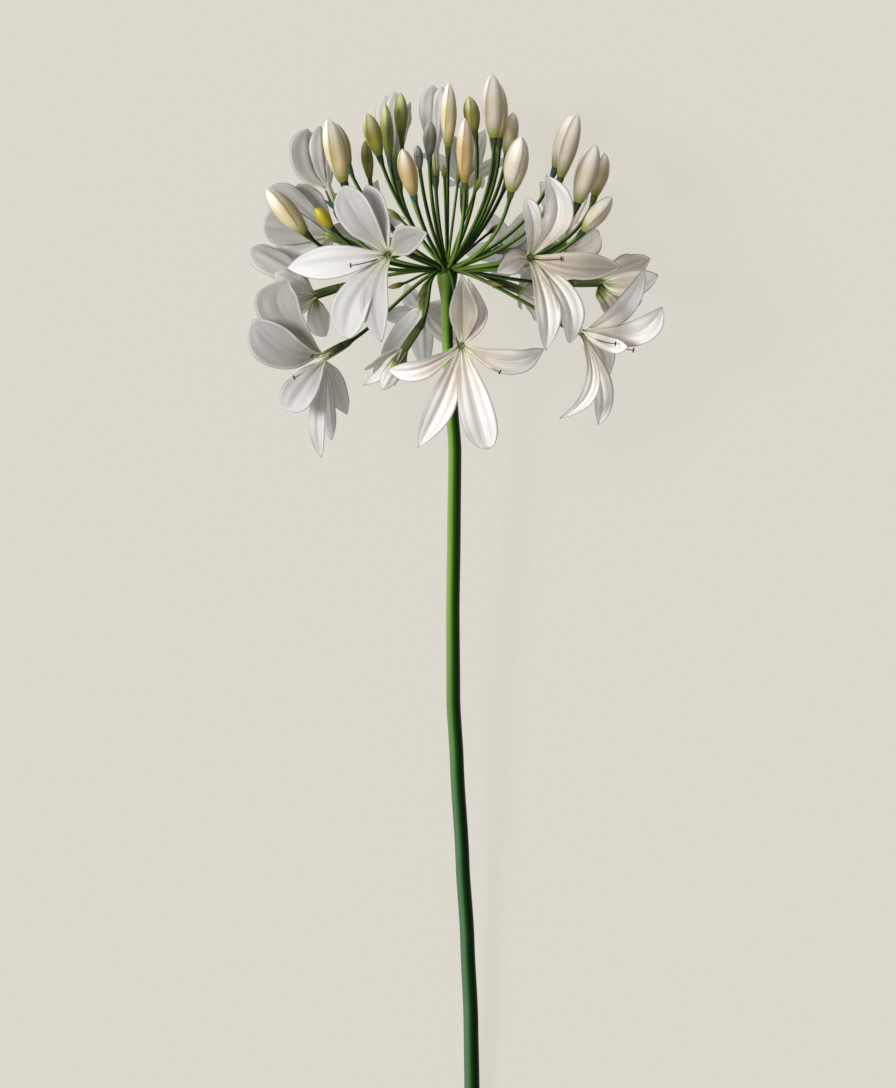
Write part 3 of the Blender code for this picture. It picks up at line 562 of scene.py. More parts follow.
def add_stalk(bm, foot, facing, waist, cup, cup_length, tint, shape=CUP_SHAPE):
    """A tube from the hub to the foot of a bud or flower, that swells into its cup."""
    first, turn = stalk_guides(foot, facing)
    line = (Vector((0.0, 0.0, 0.0)), first, turn, foot)
    swell = 1.0 - cup_length / foot.length

    def place(across, along):
        share = along / BARE_ROWS * swell
        if along > BARE_ROWS:
            share = swell + (along - BARE_ROWS) / (1 - BARE_ROWS) * (1 - swell)
        heading = facing
        if share <= swell:
            heading = cubic(*line, min(1.0, share + NUDGE)) - cubic(*line, max(0.0, share - NUDGE))
        in_cup = max(0.0, (share - swell) / (1 - swell))
        radius = through(((0, ROOT_RADIUS), (ROOT_SHARE, waist), (swell, waist)), share)
        radius += (cup - waist) * through(shape, in_cup)
        side = towards(heading) @ spoke(math.tau * across)
        lip = facing * CUP_LIP * smooth(0.8, 1.0, in_cup)
        # The mark for painted light and shade: high on the side towards the key light
        marks = {"out": share, "cup": in_cup, "painted_light": 0.5 - 0.5 * side.x, "tint": tint}
        return cubic(*line, share) + side * radius + lip, marks

    close(bm, sheet(bm, STALK_COLUMNS, STALK_ROWS, place))


print("a stalk has", STALK_COLUMNS * STALK_ROWS, "faces")

# %% [markdown]
# ### Stalk skin
# The same waxy living skin as the stem, thinner, and olive to blue-green on the cups. The side that faces
# the key light is painted yellow-green and the other deep green, as painted light and shade, and both are
# painted darker at the hub, painted shade where the stalks crowd. Each stalk has its own tint, which also
# says how brightly its painted lit side shows: painted shade for the ones further in, which stand in the
# others' shade.

# %% Stalk material
STALK_MARKS = ("out", "cup", "painted_light", "tint")
# Painted light and shade from the hub outwards, both darker at the hub as painted shade where the stalks
# crowd, and what each tint does to how far the painted lit side shows and to the cup
PAINTED_LIT_STALK = {0.0: "50741E", 0.15: "ACD254", 0.5: "92BC4E", 0.85: "64823A"}
PAINTED_SHADE_STALK = {0.0: "081405", 0.25: "123A0D", 0.6: "0D2A10", 0.9: "10200F"}
PAINTED_LIGHT_BY_TINT = {0.0: 1.0, 0.1: 0.55, 0.2: 1.0, 0.3: 0.6, 0.4: 0.95, 0.5: 0.55, 0.7: 1.0}
CUP_COLOURS = {0.0: "59602C", 0.4: "3A421F", 0.6: "28321C", 0.8: "3C5E56", 0.95: "8E8A42"}


def stalk_skin():
    material, tree, shader, (out, cup, painted_light, tint) = new_material("stalk_waxy_skin", STALK_MARKS)
    lit = add(tree, "ValToRGB", {"Fac": out}, PAINTED_LIT_STALK)
    dark = add(tree, "ValToRGB", {"Fac": out}, PAINTED_SHADE_STALK)
    # Painted shade: by its tint, each stalk's painted lit side shows less or more
    turns = add(tree, "ValToRGB", {"Fac": tint}, PAINTED_LIGHT_BY_TINT)
    painted_lit_side = share_of(tree, (painted_light, 0.4, 0.7), turns)
    body = add(tree, "Mix", {0: painted_lit_side, 6: dark, 7: lit}, data_type="RGBA")
    cups = add(tree, "ValToRGB", {"Fac": tint}, CUP_COLOURS)
    in_cup = share_of(tree, (cup, 0.15, 0.7))
    whole = add(tree, "Mix", {0: in_cup, 6: body, 7: cups}, data_type="RGBA")
    lines = grain(tree, add(tree, "TexCoord").outputs["UV"], (12.0, 5.0, 1.0), 2.0)
    colour = darkened(tree, whole, lines, 0.3, 0.7, 0.7)
    cover(tree, shader, colour, lines, (0.38, 0.52), 0.2, 0.0001)
    plug(shader, {"IOR": 1.45, "Specular IOR Level": 0.1})
    return material


# %% The hub and all the stalks
# The hub's outline as heights and radii, and its painted light: how brightly its middle is painted and
# how much painted shade its far side gets
HUB_PROFILE = (
    (-2.0, 0.0), (-2.0, 4.45), (-1.2, 4.75), (0.0, 4.8), (0.8, 4.55), (2.2, 4.0), (3.4, 3.0), (4.2, 2.0),
    (4.2, 0.0),
)
HUB_SIDES = 36
HUB_PAINTED_LIGHT = 0.52
HUB_PAINTED_SHADE = 0.07
FULL_WIDTH = 9.0
BUD_TINTS = 0.8
FLOWER_TINTS = 0.5
UNOPENED_TINT = 1.0


def add_hub(bm):
    """A low knuckle, turned by spinning its outline round the stem's axis."""
    spun(bm, [(radius, height, 0) for height, radius in HUB_PROFILE], (0, 1, 0), HUB_SIDES)
    # Painted light: the hub is painted paler on the side towards the key light and shaded on the far side
    painted_light = bm.verts.layers.float["painted_light"]
    for vert in bm.verts:
        vert[painted_light] = HUB_PAINTED_LIGHT - HUB_PAINTED_SHADE * vert.co.x


def make_stalks():
    draw = random.Random(5)
    bm = blank(*STALK_MARKS)
    add_hub(bm)
    for foot, tip, width, _ in BUDS.values():
        foot, facing = Vector(foot), (Vector(tip) - Vector(foot)).normalized()
        cup = CUP_RADIUS * min(1.0, width / FULL_WIDTH)
        add_stalk(bm, foot, facing, STALK_RADIUS, cup, CUP_LENGTH, draw.uniform(0, BUD_TINTS))
    for throat, facing, _ in BLOOMS.values():
        facing = Vector(facing).normalized()
        foot, tint = Vector(throat) - facing * TUBE_LENGTH, draw.uniform(0, FLOWER_TINTS)
        add_stalk(bm, foot, facing, STALK_RADIUS, CUP_RADIUS, CUP_LENGTH, tint)
    for foot, tip, tint in [(*line, UNOPENED_TINT) for line in UNOPENED] + [LATE_BUD]:
        end, bud = Vector(tip), Vector(tip) - Vector(foot)
        radii = (THIN_STALK_RADIUS, UNOPENED_RADIUS)
        add_stalk(bm, end, bud.normalized(), *radii, bud.length, tint, SPINDLE_SHAPE)
    return piece(bm, "umbel_stalks", [stalk_skin()], "flower_stalks")


print("stalk faces", len(make_stalks().data.polygons))

# %% [markdown]
# ## Buds
# A closed bud is six petals folded round each other: three on the outside, whose edges show as long
# seams that turn a little towards the tip. A spindle is the right start, and spinning a profile round
# its axis gives one. The seams are then pressed in, and each point is told how near a seam it is.

# %% Bud shape
BUD_PROFILE = ((0.0, 0.42), (0.14, 0.68), (0.43, 1.0), (0.68, 0.93), (0.88, 0.58), (1.0, 0.05))
# The points that the outline would run on to, past both its ends
BUD_BEFORE, BUD_AFTER = (-0.14, 0.08), (1.04, -0.4)
BUD_RINGS = 26
BUD_SIDES = 42
BUD_MARKS = ("along", "seam", "fold", "painted_shade_side")
# A bud's least radius as a share of its full one, and how far a seam turns on its way to the tip
LEAST_RADIUS = 0.02
SEAM_TURN = 0.55
# Widths of a seam, of a petal's midline and of the step where petals lap, as shares of a petal
SEAM_WIDTH, MIDLINE_WIDTH, STEP_WIDTH = 0.055, 0.09, 0.16
# The skin's place, how deep these are pressed in and how flat a petal is, as shares of the radius
BUD_SKIN, SEAM_DEPTH, MIDLINE_DEPTH, STEP_HEIGHT, FLATNESS = 0.985, 0.075, 0.02, 0.018, 0.045


def bud_radius(along):
    """The bud's outline as a share of its full radius, rounded through the profile's points."""
    points = (BUD_BEFORE, *BUD_PROFILE, BUD_AFTER)
    for (x0, y0), (x1, y1), (x2, y2), (x3, y3) in zip(points, points[1:], points[2:], points[3:]):
        if along <= x2:
            break
    share = (along - x1) / (x2 - x1)
    rise1 = (y2 - y0) / (x2 - x0) * (x2 - x1)
    rise2 = (y3 - y1) / (x3 - x1) * (x2 - x1)
    eased = smooth(0, 1, share)
    bent = rise1 * share * (1 - share) ** 2 - rise2 * share**2 * (1 - share)
    return y1 + (y2 - y1) * eased + bent


def make_bud(name, foot, tip, width, material, turn):
    """A spindle spun round Z and pressed in along its seams, then laid from its foot to its tip."""
    foot, tip = Vector(foot), Vector(tip)
    length = (tip - foot).length
    bm = bmesh.new()
    marks = [bm.verts.layers.float.new(mark) for mark in BUD_MARKS]
    shares = [0.5 - 0.5 * math.cos(math.pi * n / BUD_RINGS) for n in range(BUD_RINGS + 1)]
    outline = [(max(LEAST_RADIUS, bud_radius(s)) * width / 2, 0, length * s) for s in shares]
    spun(bm, [(0, 0, 0), *outline, (0, 0, length)], (0, 0, 1), BUD_SIDES)
    for vert in bm.verts:
        along = vert.co.z / length
        angle = math.atan2(vert.co.y, vert.co.x) - turn - SEAM_TURN * along
        third = (angle / math.tau * 3) % 1.0
        away = min(third, 1.0 - third)
        seam = hump(away, SEAM_WIDTH) * smooth(0.04, 0.3, along)
        pressed = SEAM_DEPTH * seam + MIDLINE_DEPTH * hump(third - 0.5, MIDLINE_WIDTH)
        pressed += FLATNESS * away * smooth(0.2, 0.7, along)
        step = STEP_HEIGHT * math.exp(-third / STEP_WIDTH) * smooth(0.1, 0.4, along)
        squeeze = BUD_SKIN - pressed + step
        vert.co.x *= squeeze
        vert.co.y *= squeeze
        for mark, value in zip(marks, (along, seam, third)):
            vert[mark] = value
    place = Matrix.Translation(foot) @ towards(tip - foot).to_4x4()
    bmesh.ops.transform(bm, matrix=place, verts=bm.verts)
    # How far each point is turned to the right, away from the key light, for painted shade on that side
    for vert in bm.verts:
        axis = foot.lerp(tip, vert[marks[0]])
        vert[marks[3]] = smooth(-0.05, 0.75, 2 * (vert.co.x - axis.x) / width)
    return piece(bm, f"closed_bud_{name}", [material], f"bud_{name}")


# %% [markdown]
# ### Bud skin
# The outer face of folded petals: matt, finely grained, slightly waxy tissue. It is green where it
# leaves the cup and pales to cream or white at the tip. The seams, and each petal's edge where the next
# one laps over it, are painted darker, as painted shade, and the side that is turned from the key light
# is painted with some of the same olive, as painted shade. Grain lines are about 0.5 mm apart.

# %% Bud materials
# Each skin's foot, middle and tip colours, and a darker olive for the seams, which is also painted shade
BUD_COLOURS = {
    "white": ("84883C", "D0C7B2", "ECE9E0", "766744"),
    "cream": ("7C7B22", "DACCA0", "F7F3E6", "6C5A18"),
    "peach": ("86802A", "CFB47E", "EADFC8", "785C20"),
    "olive": ("525E10", "918C3A", "D3CE9A", "43450F"),
    "green": ("4B5E14", "8E9644", "CBCC96", "3D4614"),
    "grey": ("3C4430", "6F7062", "A6A598", "2C3024"),
    "yellow": ("66700C", "B0A210", "CCC034", "746804"),
}


def bud_skin(name, foot, middle, tip, seam_and_shade_colour):
    material, tree, shader, marks = new_material(f"bud_{name}_petal_skin", BUD_MARKS)
    along, seam, fold, painted_shade_side = marks
    lines = grain(tree, add(tree, "CombineXYZ", {"X": fold, "Y": along}), (14.0, 2.0, 1.0))
    body = add(tree, "ValToRGB", {"Fac": along}, {0.04: foot, 0.3: middle, 0.55: middle, 0.9: tip})
    grained = darkened(tree, body, lines, 0.3, 0.7, 0.86)
    # Painted shade: darker where the next petal laps over, in the seams, and on the side turned from the
    # key light
    lap_shade = share_of(tree, (fold, 0.42, 0.02, 0.0, 0.7), (along, 0.1, 0.4))
    inner = add(tree, "Math", {0: lap_shade, 1: share_of(tree, seam, 0.92)}, operation="MAXIMUM")
    whole = add(tree, "Math", {0: inner, 1: share_of(tree, painted_shade_side, 0.6)}, operation="MAXIMUM")
    colour = add(tree, "Mix", {0: whole, 6: grained, 7: linear(seam_and_shade_colour)}, data_type="RGBA")
    cover(tree, shader, colour, lines, (0.4, 0.55), 0.3, 0.0002)
    plug(shader, {"IOR": 1.42, "Subsurface Weight": 0.2, "Subsurface Scale": 1.0})
    plug(shader, {"Subsurface Radius": (0.0012, 0.0010, 0.0006)})
    return material


# %% All the closed buds
def make_buds():
    draw = random.Random(8)
    skins = {name: bud_skin(name, *codes) for name, codes in BUD_COLOURS.items()}
    return [
        make_bud(name, foot, tip, width, skins[colour], draw.uniform(0, math.tau))
        for name, (foot, tip, width, colour) in BUDS.items()
    ]


print("bud faces", sum(len(obj.data.polygons) for obj in make_buds()))

# %% [markdown]
# ## Open flowers
# Six petals grow together at the foot into a funnel and bend back at its mouth, three in an outer layer
# and three in an inner one. So each petal here is one long sheet: its foot is a strip of the funnel's
# wall, and past the mouth it widens, troughs, folds along its midline and ripples at its margin. A thin
# wall is given by a Solidify modifier at the end. The layers and the order of the draws are the solid
# model's, so the petals lie where its petals do.

# %% Where each petal of a flower runs
SEED = 11
THROAT_RADIUS = 1.9
PETAL_WIDTH_SHARE = 0.36
PETAL_FOOT = 1.25
LAYER_STEP = 2.2
WIDEST_AT = 0.58
PETAL_ARCH = 0.42
PETAL_TROUGH = 0.27
# How far inside the throat's edge and below it a petal starts, and how much an outer one is moved out
ROOT_INSET, ROOT_DEPTH, LAYER_SPREAD = 1.2, 0.8, 0.3


def ruled_tips(throat, facing, spin, spread, reach, draw):
    """A ring of six petal tips at a spread from the facing, slightly uneven."""
    turn = towards(facing)
    tips = []
    for number in range(6):
        bearing = math.radians(spin + 60 * number + draw.uniform(-5, 5))
        lean = math.radians(spread + draw.uniform(-4, 4))
        length = reach * draw.uniform(0.95, 1.05)
        out = spoke(bearing) * math.sin(lean)
        out.z = math.cos(lean)
        tips.append(throat + turn @ out * length)
    return tips


def petal_lines(name, throat, facing, petals, draw):
    """What each petal needs: root, handle, tip, width, layer, its grey of painted shade, and how green and
    blunt it is.
    """
    if len(petals) == 6:
        wanted = [(Vector(tip), width, Vector(middle)) for middle, tip, width in petals]
    else:
        tips = ruled_tips(throat, facing, *petals, draw)
        wanted = [(tip, petals[2] * PETAL_WIDTH_SHARE, None) for tip in tips]
    shade_greys, greens = SHADE_GREYS.get(name, (USUAL_SHADE_GREY,) * 6), GREENS.get(name, (0.0,) * 6)
    looks = list(zip(wanted, shade_greys, greens, BLUNTNESS.get(name, (USUAL_BLUNTNESS,) * 6)))
    into = towards(facing).inverted()
    looks.sort(key=lambda item: math.atan2(*(into @ (item[0][0] - throat)).yx))
    lines = []
    for number, ((tip, width, middle), grey, green, blunt) in enumerate(looks):
        reach = tip - throat
        out = (reach - facing * reach.dot(facing)).normalized()
        layer = LAYER_STEP * (number % 2)
        start = THROAT_RADIUS - ROOT_INSET + layer * LAYER_SPREAD
        root = throat + out * start - facing * (ROOT_DEPTH + layer)
        handle = root + facing * PETAL_ARCH * reach.length
        if middle:
            handle = middle * 2.0 - (root + tip) / 2
        lines.append((root, handle, tip, width, layer, grey, green, blunt))
    return lines


# %% Painted shade and warmth of the petals, how blunt their tips are and which way they are turned
# Painted shade: how much greyer each petal is painted, for petals that stand in the shade of others
USUAL_SHADE_GREY = 0.5
SHADE_GREYS = {
    "front_left": (0.75, 0.32, 0.5, 0.65, 0.9, 0.65),
    "front_right": (0.0, 0.0, 0.1, 1.0, 0.0, 0.0),
    "front_low": (1.0, 0.0, 0.0, 0.1, 0.0, 0.0),
    "right_low": (0.0, 0.1, 0.0, 0.0, 0.15, 0.4),
    "left_low": (0.9, 0.9, 0.5, 0.5, 0.4, 0.5),
    "right_rear": (0.8, 0.1, 1.0, 0.9, 0.7, 0.7),
    "right_upper_rear": (0.5, 0.4, 0.4, 0.5, 0.5, 0.5),
    "left_middle": (0.75, 0.4, 0.3, 0.5, 0.5, 0.5),
    "left_rear": (0.8, 0.8, 0.6, 0.6, 0.6, 0.6),
    "left_half_open": (0.9, 0.6, 0.4, 0.5, 0.5, 0.5),
    "top_half_open": (0.8, 0.4, 0.4, 0.5, 0.5, 0.5),
    "upper_left_half_open": (0.6, 0.6, 0.5, 0.5, 0.5, 0.5),
    "stem_left": (0.2, 0.2, 0.3, 0.5, 0.3, 0.3),
    "back_low": (0.6,) * 6,
}
WARMTH = {
    "front_left": 0.08,
    "front_right": 0.8,
    "front_low": 0.8,
    "right_low": 0.6,
    "right_rear": 0.9,
    "right_upper_rear": 0.9,
    "left_middle": 0.2,
    "left_half_open": 0.35,
    "upper_left_half_open": 0.4,
    "stem_left": 0.3,
}
# How far past the usual the green of the foot runs up each petal, as a share of its length
GREENS = {
    "stem_left": (0.1, 0.3, 0.5, 0.5, 0.2, 0.05),
    "left_middle": (0.0, 0.05, 0.15, 0.1, 0.1, 0.0),
    "right_rear": (0.1, 0.12, 0.25, 0.2, 0.1, 0.1),
    "left_half_open": (-0.14,) * 6,
    "top_half_open": (-0.14,) * 6,
}
# How blunt each petal's tip is, from 0 for pointed to 1 for round, where it isn't the usual. Below 0 the
# petal is also widest nearer its foot
USUAL_BLUNTNESS = 0.3
BLUNTNESS = {
    "front_left": (0.5, 0.0, 0.6, 0.1, 0.0, 0.3),
    "front_right": (0.3, 0.6, 0.0, 0.1, 0.1, 0.6),
    "front_low": (-0.6, -0.6, 0.0, 0.1, 0.0, 1.0),
    "right_low": (0.1, 0.4, 0.2, 0.1, 0.3, 0.3),
    "left_low": (0.4, 0.6, 1.0, 0.2, 0.2, 0.3),
    "left_middle": (1.0, 0.5, 0.6, 0.3, 0.3, 0.3),
    "left_rear": (0.7, 0.8, 0.4, 0.8, 0.3, 0.3),
    "left_half_open": (0.7, 0.6, 0.5, 0.5, 0.5, 0.5),
    "top_half_open": (0.7, 0.6, 0.5, 0.5, 0.5, 0.5),
    "upper_left_half_open": (0.8, 0.7, 0.5, 0.5, 0.5, 0.5),
    "right_upper_rear": (1.0, 0.4, 0.3, 0.3, 0.3, 0.3),
}

# The way that the petals' faces are turned, where it isn't the way that the flower faces
PETAL_FACES = {
    "right_low": (0.30, -0.10, 0.95),
    "left_low": (-0.25, -0.15, 0.95),
    "right_rear": (0.60, 0.10, 0.80),
    "left_middle": (-0.50, -0.10, -0.86),
    "left_rear": (-0.35, 0.15, -0.92),
}

# %% A petal's sheet
PETAL_COLUMNS = 14
PETAL_ROWS = 34
TUBE_SHARE = 0.2
TUBE_SHAPE = ((-12.0, 1.7), (-6.0, 1.9), (0.0, 1.95), (6.0, 3.2))
HALF_STRIP = math.radians(36)
TUBE_GAP = 0.4
TUBE_STEP = 0.12
PETAL_THICKNESS = 0.4
# A groove runs down a petal's middle and a low ridge on each side of it. Heights are shares of half its
# width, and places and widths are shares of the way to its margin
GROOVE_DEPTH, GROOVE_WIDTH = 0.13, 0.13
RIDGE_HEIGHT, RIDGE_PLACE, RIDGE_WIDTH = 0.07, 0.4, 0.16
# The least and greatest height of the margin's ripples in mm, and how close they are
RIPPLE_HEIGHTS = (0.35, 0.75)
RIPPLES, RIPPLE_SLANT = 13, 0.9
# How far the margin is said to be in the throat, where there is none
NO_MARGIN = 3.0


def petal_half(along, width, blunt):
    """Half the petal's width at that share of its free length. A blunt petal is widest nearer its tip."""
    half = width / 2
    widest = WIDEST_AT + 0.1 * blunt
    if along < widest:
        return PETAL_FOOT + (half - PETAL_FOOT) * math.sin(math.pi / 2 * along / widest) ** 1.4
    fall = ((along - widest) / (1.0 - widest)) ** (2.0 + 0.6 * blunt)
    return half * max(0.02, (1.0 - fall) ** (0.95 - 0.35 * blunt))


def add_petal(bm, throat, facing, face, line, warm, draw):
    root, handle, tip, width, layer, grey, green, blunt = line
    turn = towards(facing)
    local = turn.inverted() @ (tip - throat)
    bearing = math.atan2(local.y, local.x)
    reach = (tip - throat).length
    phase = draw.uniform(0, math.tau)
    ripple = draw.uniform(*RIPPLE_HEIGHTS)
    chord = face.cross(tip - root).normalized()

    def place(across, along):
        side_share = across * 2 - 1
        free = (along - TUBE_SHARE) / (1 - TUBE_SHARE)
        axial = free * reach * 0.5
        if free <= 0:
            axial = -(TUBE_LENGTH - TUBE_GAP) * (1 - along / TUBE_SHARE)
        out = turn @ spoke(bearing + HALF_STRIP * side_share)
        radius = through(TUBE_SHAPE, axial) - TUBE_STEP * layer
        in_tube = throat + facing * axial + out * radius
        marks = {"grey": grey, "warm": warm, "free": along - green, "edge": NO_MARGIN}
        if free <= 0:
            return in_tube, marks
        centre = bezier(root, handle, tip, free)
        heading = ((handle - root) * (1 - free) + (tip - handle) * free).normalized()
        side = (chord - heading * chord.dot(heading)).normalized()
        inner = heading.cross(side)
        half = petal_half(free, width, blunt)
        bowl = PETAL_TROUGH * (side_share**2 - 0.3)
        ridges = RIDGE_HEIGHT * hump(abs(side_share) - RIDGE_PLACE, RIDGE_WIDTH)
        folds = ridges - GROOVE_DEPTH * hump(side_share, GROOVE_WIDTH)
        folds *= smooth(0.0, 0.3, free) * (1 - smooth(0.75, 1.0, free))
        wave = ripple * abs(side_share) ** 3
        wave *= math.sin(free * RIPPLES + phase + side_share * RIPPLE_SLANT)
        wave *= smooth(0.15, 0.5, free) * (1 - 0.7 * smooth(0.8, 1.0, free))
        lift = half * (bowl + folds) + wave
        opened = centre + side * half * side_share + inner * lift
        point = in_tube.lerp(opened, smooth(0.0, 0.3, free))
        inside = min(half * (1 - abs(side_share)), (1 - free) * reach)
        marks["edge"] = inside + NO_MARGIN * (1 - smooth(0, 0.2, free))
        return on_surface(point), marks

    sheet(bm, PETAL_COLUMNS, PETAL_ROWS, place)


def on_surface(point):
    """Keeps a petal that reaches the surface lying on it."""
    lying = LYING @ point
    lying.z = max(lying.z, PETAL_THICKNESS * 0.6)
    return UPRIGHT @ lying


# %% [markdown]
# ### Petal tissue
# A petal is a few cells thick, mostly water and air: white because the air scatters light, and
# translucent, so some light comes through from behind. That is subsurface scattering with a reach of
# about a millimetre, on a wall 0.4 mm thick. Veins run its length about 0.7 mm apart. The foot and throat
# are yellow-green with darker streaks. The margin has a soft grey line, painted shade where it turns
# away, and the wide folds and the line down the middle are painted darker too, as painted shade. Marks
# say how warm each petal is and how much painted shade greys it, for petals that stand in shade.

# %% Petal material
PETAL_MARKS = ("grey", "warm", "edge", "free")
FOOT_COLOURS = {0.0: "2E3620", 0.1: "47522B", 0.17: "6F7A3C", 0.22: "BCBE7E", 0.3: "EDEAC6"}


def petal_tissue():
    material, tree, shader, (grey, warm, edge, free) = new_material("petal_soft_tissue", PETAL_MARKS)
    coordinates = add(tree, "TexCoord")
    uv = coordinates.outputs["UV"]
    across = add(tree, "SeparateXYZ", {"Vector": uv})
    # White, greyed on some petals by painted shade, a little less so near the margin
    pale = add(tree, "Mix", {0: warm, 6: linear("F3F2F0"), 7: linear("F4F0EA")}, data_type="RGBA")
    shade = add(tree, "Mix", {0: warm, 6: linear("8F8E89"), 7: linear("A49C8E")}, data_type="RGBA")
    painted_shade_share = share_of(tree, grey, (edge, 0.4, 1.4, 0.62))
    toned = add(tree, "Mix", {0: painted_shade_share, 6: pale, 7: shade}, data_type="RGBA")
    # A cloudy beige band, darker than the tips, across the middle of the warm ones
    wide = add(tree, "TexNoise", {"Vector": coordinates.outputs["Object"], "Scale": 55.0, "Detail": 2.0})
    cloud = share_of(tree, (wide, 0.4, 0.7))
    spread = add(tree, "Math", {0: cloud, 1: 0.5, 2: 0.5}, operation="MULTIPLY_ADD")
    beige_band = share_of(tree, (free, 0.22, 0.4), (free, 0.75, 0.4), spread, warm)
    banded = add(tree, "Mix", {0: beige_band, 6: toned, 7: linear("CFBDA6")}, data_type="RGBA")
    # Fine veins, and painted shade in wide folds and in a line down the middle
    veins = grain(tree, uv, (20.0, 1.2, 1.0))
    veined = darkened(tree, banded, veins, 0.3, 0.65, 0.9)
    folds = grain(tree, uv, (6.0, 0.7, 1.0), 1.0)
    folded = darkened(tree, veined, folds, 0.38, 0.58, 0.72, share=warm)
    midway = add(tree, "Math", {0: across, 1: 0.5, 2: 0.035}, operation="COMPARE")
    strength = add(tree, "Math", {0: warm, 1: 0.2, 2: 0.14}, operation="MULTIPLY_ADD")
    line = share_of(tree, midway, strength)
    groove_shaded = add(tree, "Mix", {0: line, 6: folded, 7: linear("A7A08E")}, data_type="RGBA")
    # A green foot, and dark streaks that run out of the throat
    foot = add(tree, "ValToRGB", {"Fac": free}, FOOT_COLOURS)
    rooted = add(tree, "Mix", {0: share_of(tree, (free, 0.4, 0.2)), 6: groove_shaded, 7: foot}, data_type="RGBA")
    streaks = grain(tree, uv, (9.0, 2.0, 1.0), 1.0)
    thin = share_of(tree, (streaks, 0.46, 0.55))
    narrow = add(tree, "Math", {0: across, 1: 0.5, 2: 0.09}, operation="COMPARE")
    lines = add(tree, "Math", {0: thin, 1: narrow}, operation="MAXIMUM")
    streak = share_of(tree, lines, (free, 0.42, 0.26), 0.8)
    streaked = add(tree, "Mix", {0: streak, 6: rooted, 7: linear("4F5E20")}, data_type="RGBA")
    # A dark line along the margin, painted shade where it turns away
    rim_shade = share_of(tree, (edge, 0.55, 0.15), 0.7)
    colour = add(tree, "Mix", {0: rim_shade, 6: streaked, 7: linear("98938A")}, data_type="RGBA")
    cover(tree, shader, colour, veins, (0.45, 0.6), 0.3, 0.0003)
    plug(shader, {"IOR": 1.4, "Specular IOR Level": 0.4, "Subsurface Weight": 0.3})
    plug(shader, {"Subsurface Scale": 1.0, "Subsurface Radius": (0.0010, 0.0009, 0.0008)})
    return material


# %% [markdown]
# ### Stamens
# Six thin filaments rise from inside each throat, with an anther lying across the end of each. In this
# flower one or two reach far out and have turned dark. A filament is a rolled grid along a bent line,
# and an anther is a small sphere drawn out long.

# %% Stamen shape and materials
FILAMENT_RADIUS = 0.26
ANTHER_LENGTH = 2.6
ANTHER_WIDTH = 0.75
SHORT_RADIUS = 0.17
SHORT_ANTHER = 0.9
FILAMENT_SIDES = 6
FILAMENT_ROWS = 12
# Where a short stamen starts, bends and ends: how far out of the throat's middle, and ahead of its mouth
SHORT_LINE = ((0.5, -6.0), (0.4, -2.0), (1.0, 0.6))
LONG_ROOT = -5.0
LONG_RISE = 5.0
LONG_SAG = 0.06
HALF_DARK = 0.85
PALE_THREADS = ("front_low", "left_low")
NEVER_DARK = 1.2


def add_filament(bm, root, handle, tip, radius, length, dark_from):
    """A bent thread, dark from that share of it on, and an anther of that length across its end."""

    def place(across, along):
        centre = bezier(root, handle, tip, along)
        heading = (handle - root) * (1 - along) + (tip - handle) * along
        out = towards(heading) @ spoke(math.tau * across)
        dark = smooth(dark_from - 0.1, dark_from, along)
        return centre + out * radius * (1.15 - 0.4 * along), {"dark": dark}

    close(bm, sheet(bm, FILAMENT_SIDES, FILAMENT_ROWS, place))
    made = bmesh.ops.create_uvsphere(bm, u_segments=8, v_segments=6, radius=0.5)["verts"]
    across = (tip - handle).cross(Vector((0.1, 0.1, 1.0))).normalized()
    width = ANTHER_WIDTH * length / ANTHER_LENGTH
    shape = towards(across).to_4x4() @ Matrix.Diagonal((width, width, length, 1))
    bmesh.ops.transform(bm, matrix=Matrix.Translation(tip) @ shape, verts=made)
    for vert in made:
        vert[bm.verts.layers.float["dark"]] = 1.0 if dark_from < 1.0 else 0.0
        for face in vert.link_faces:
            face.material_index = 1


def stamen_material(name, pale, dark, rough_low):
    material, tree, shader, (age,) = new_material(name, ("dark",))
    where = add(tree, "TexCoord").outputs["Object"]
    specks = add(tree, "TexNoise", {"Vector": where, "Scale": 1800.0, "Detail": 2.0})
    body = add(tree, "Mix", {0: age, 6: linear(pale), 7: linear(dark)}, data_type="RGBA")
    cover(tree, shader, darkened(tree, body, specks, 0.3, 0.7, 0.75), specks, (rough_low, 0.8))
    return material


def make_stamens(name, throat, facing, materials):
    """Six stamens in one piece. The ones in the table are long and dark, and the rest are short."""
    turn = towards(facing)
    long_tips = [Vector(tip) for tip in LONG_STAMENS.get(name, ())]
    bm = blank("dark")
    for number in range(6):
        out = turn @ spoke(math.tau * (number + 0.5) / 6)
        root, handle, tip = (throat + out * wide + facing * ahead for wide, ahead in SHORT_LINE)
        radius, length, dark_from = SHORT_RADIUS, SHORT_ANTHER, NEVER_DARK
        if number < len(long_tips):
            root, tip = throat + facing * LONG_ROOT, long_tips[number]
            sag = Vector((0, -LONG_SAG * (tip - root).length, 0))
            handle = (root + tip) / 2 + facing * LONG_RISE + sag
            radius, length = FILAMENT_RADIUS, ANTHER_LENGTH
            dark_from = HALF_DARK if name in PALE_THREADS else 0.0
        add_filament(bm, root, handle, tip, radius, length, dark_from)
    return piece(bm, f"stamens_{name}", materials, None)


# %% [markdown]
# ### Putting the flowers together
# The petals of one flower are one piece, closed inside by a short lining of the funnel, so that no light
# shows between their feet. Solidify gives the sheets their wall.

# %% All the open flowers
# The lining's outline, as places along the funnel and radii
LINING = (
    (-11.4, 0.2), (-11.2, 1.2), (-6.0, 1.4), (-0.9, 1.35), (-1.1, 1.15), (-2.0, 0.7), (-3.0, 0.4),
    (-6.5, 0.15),
)
LINING_SIDES = 24
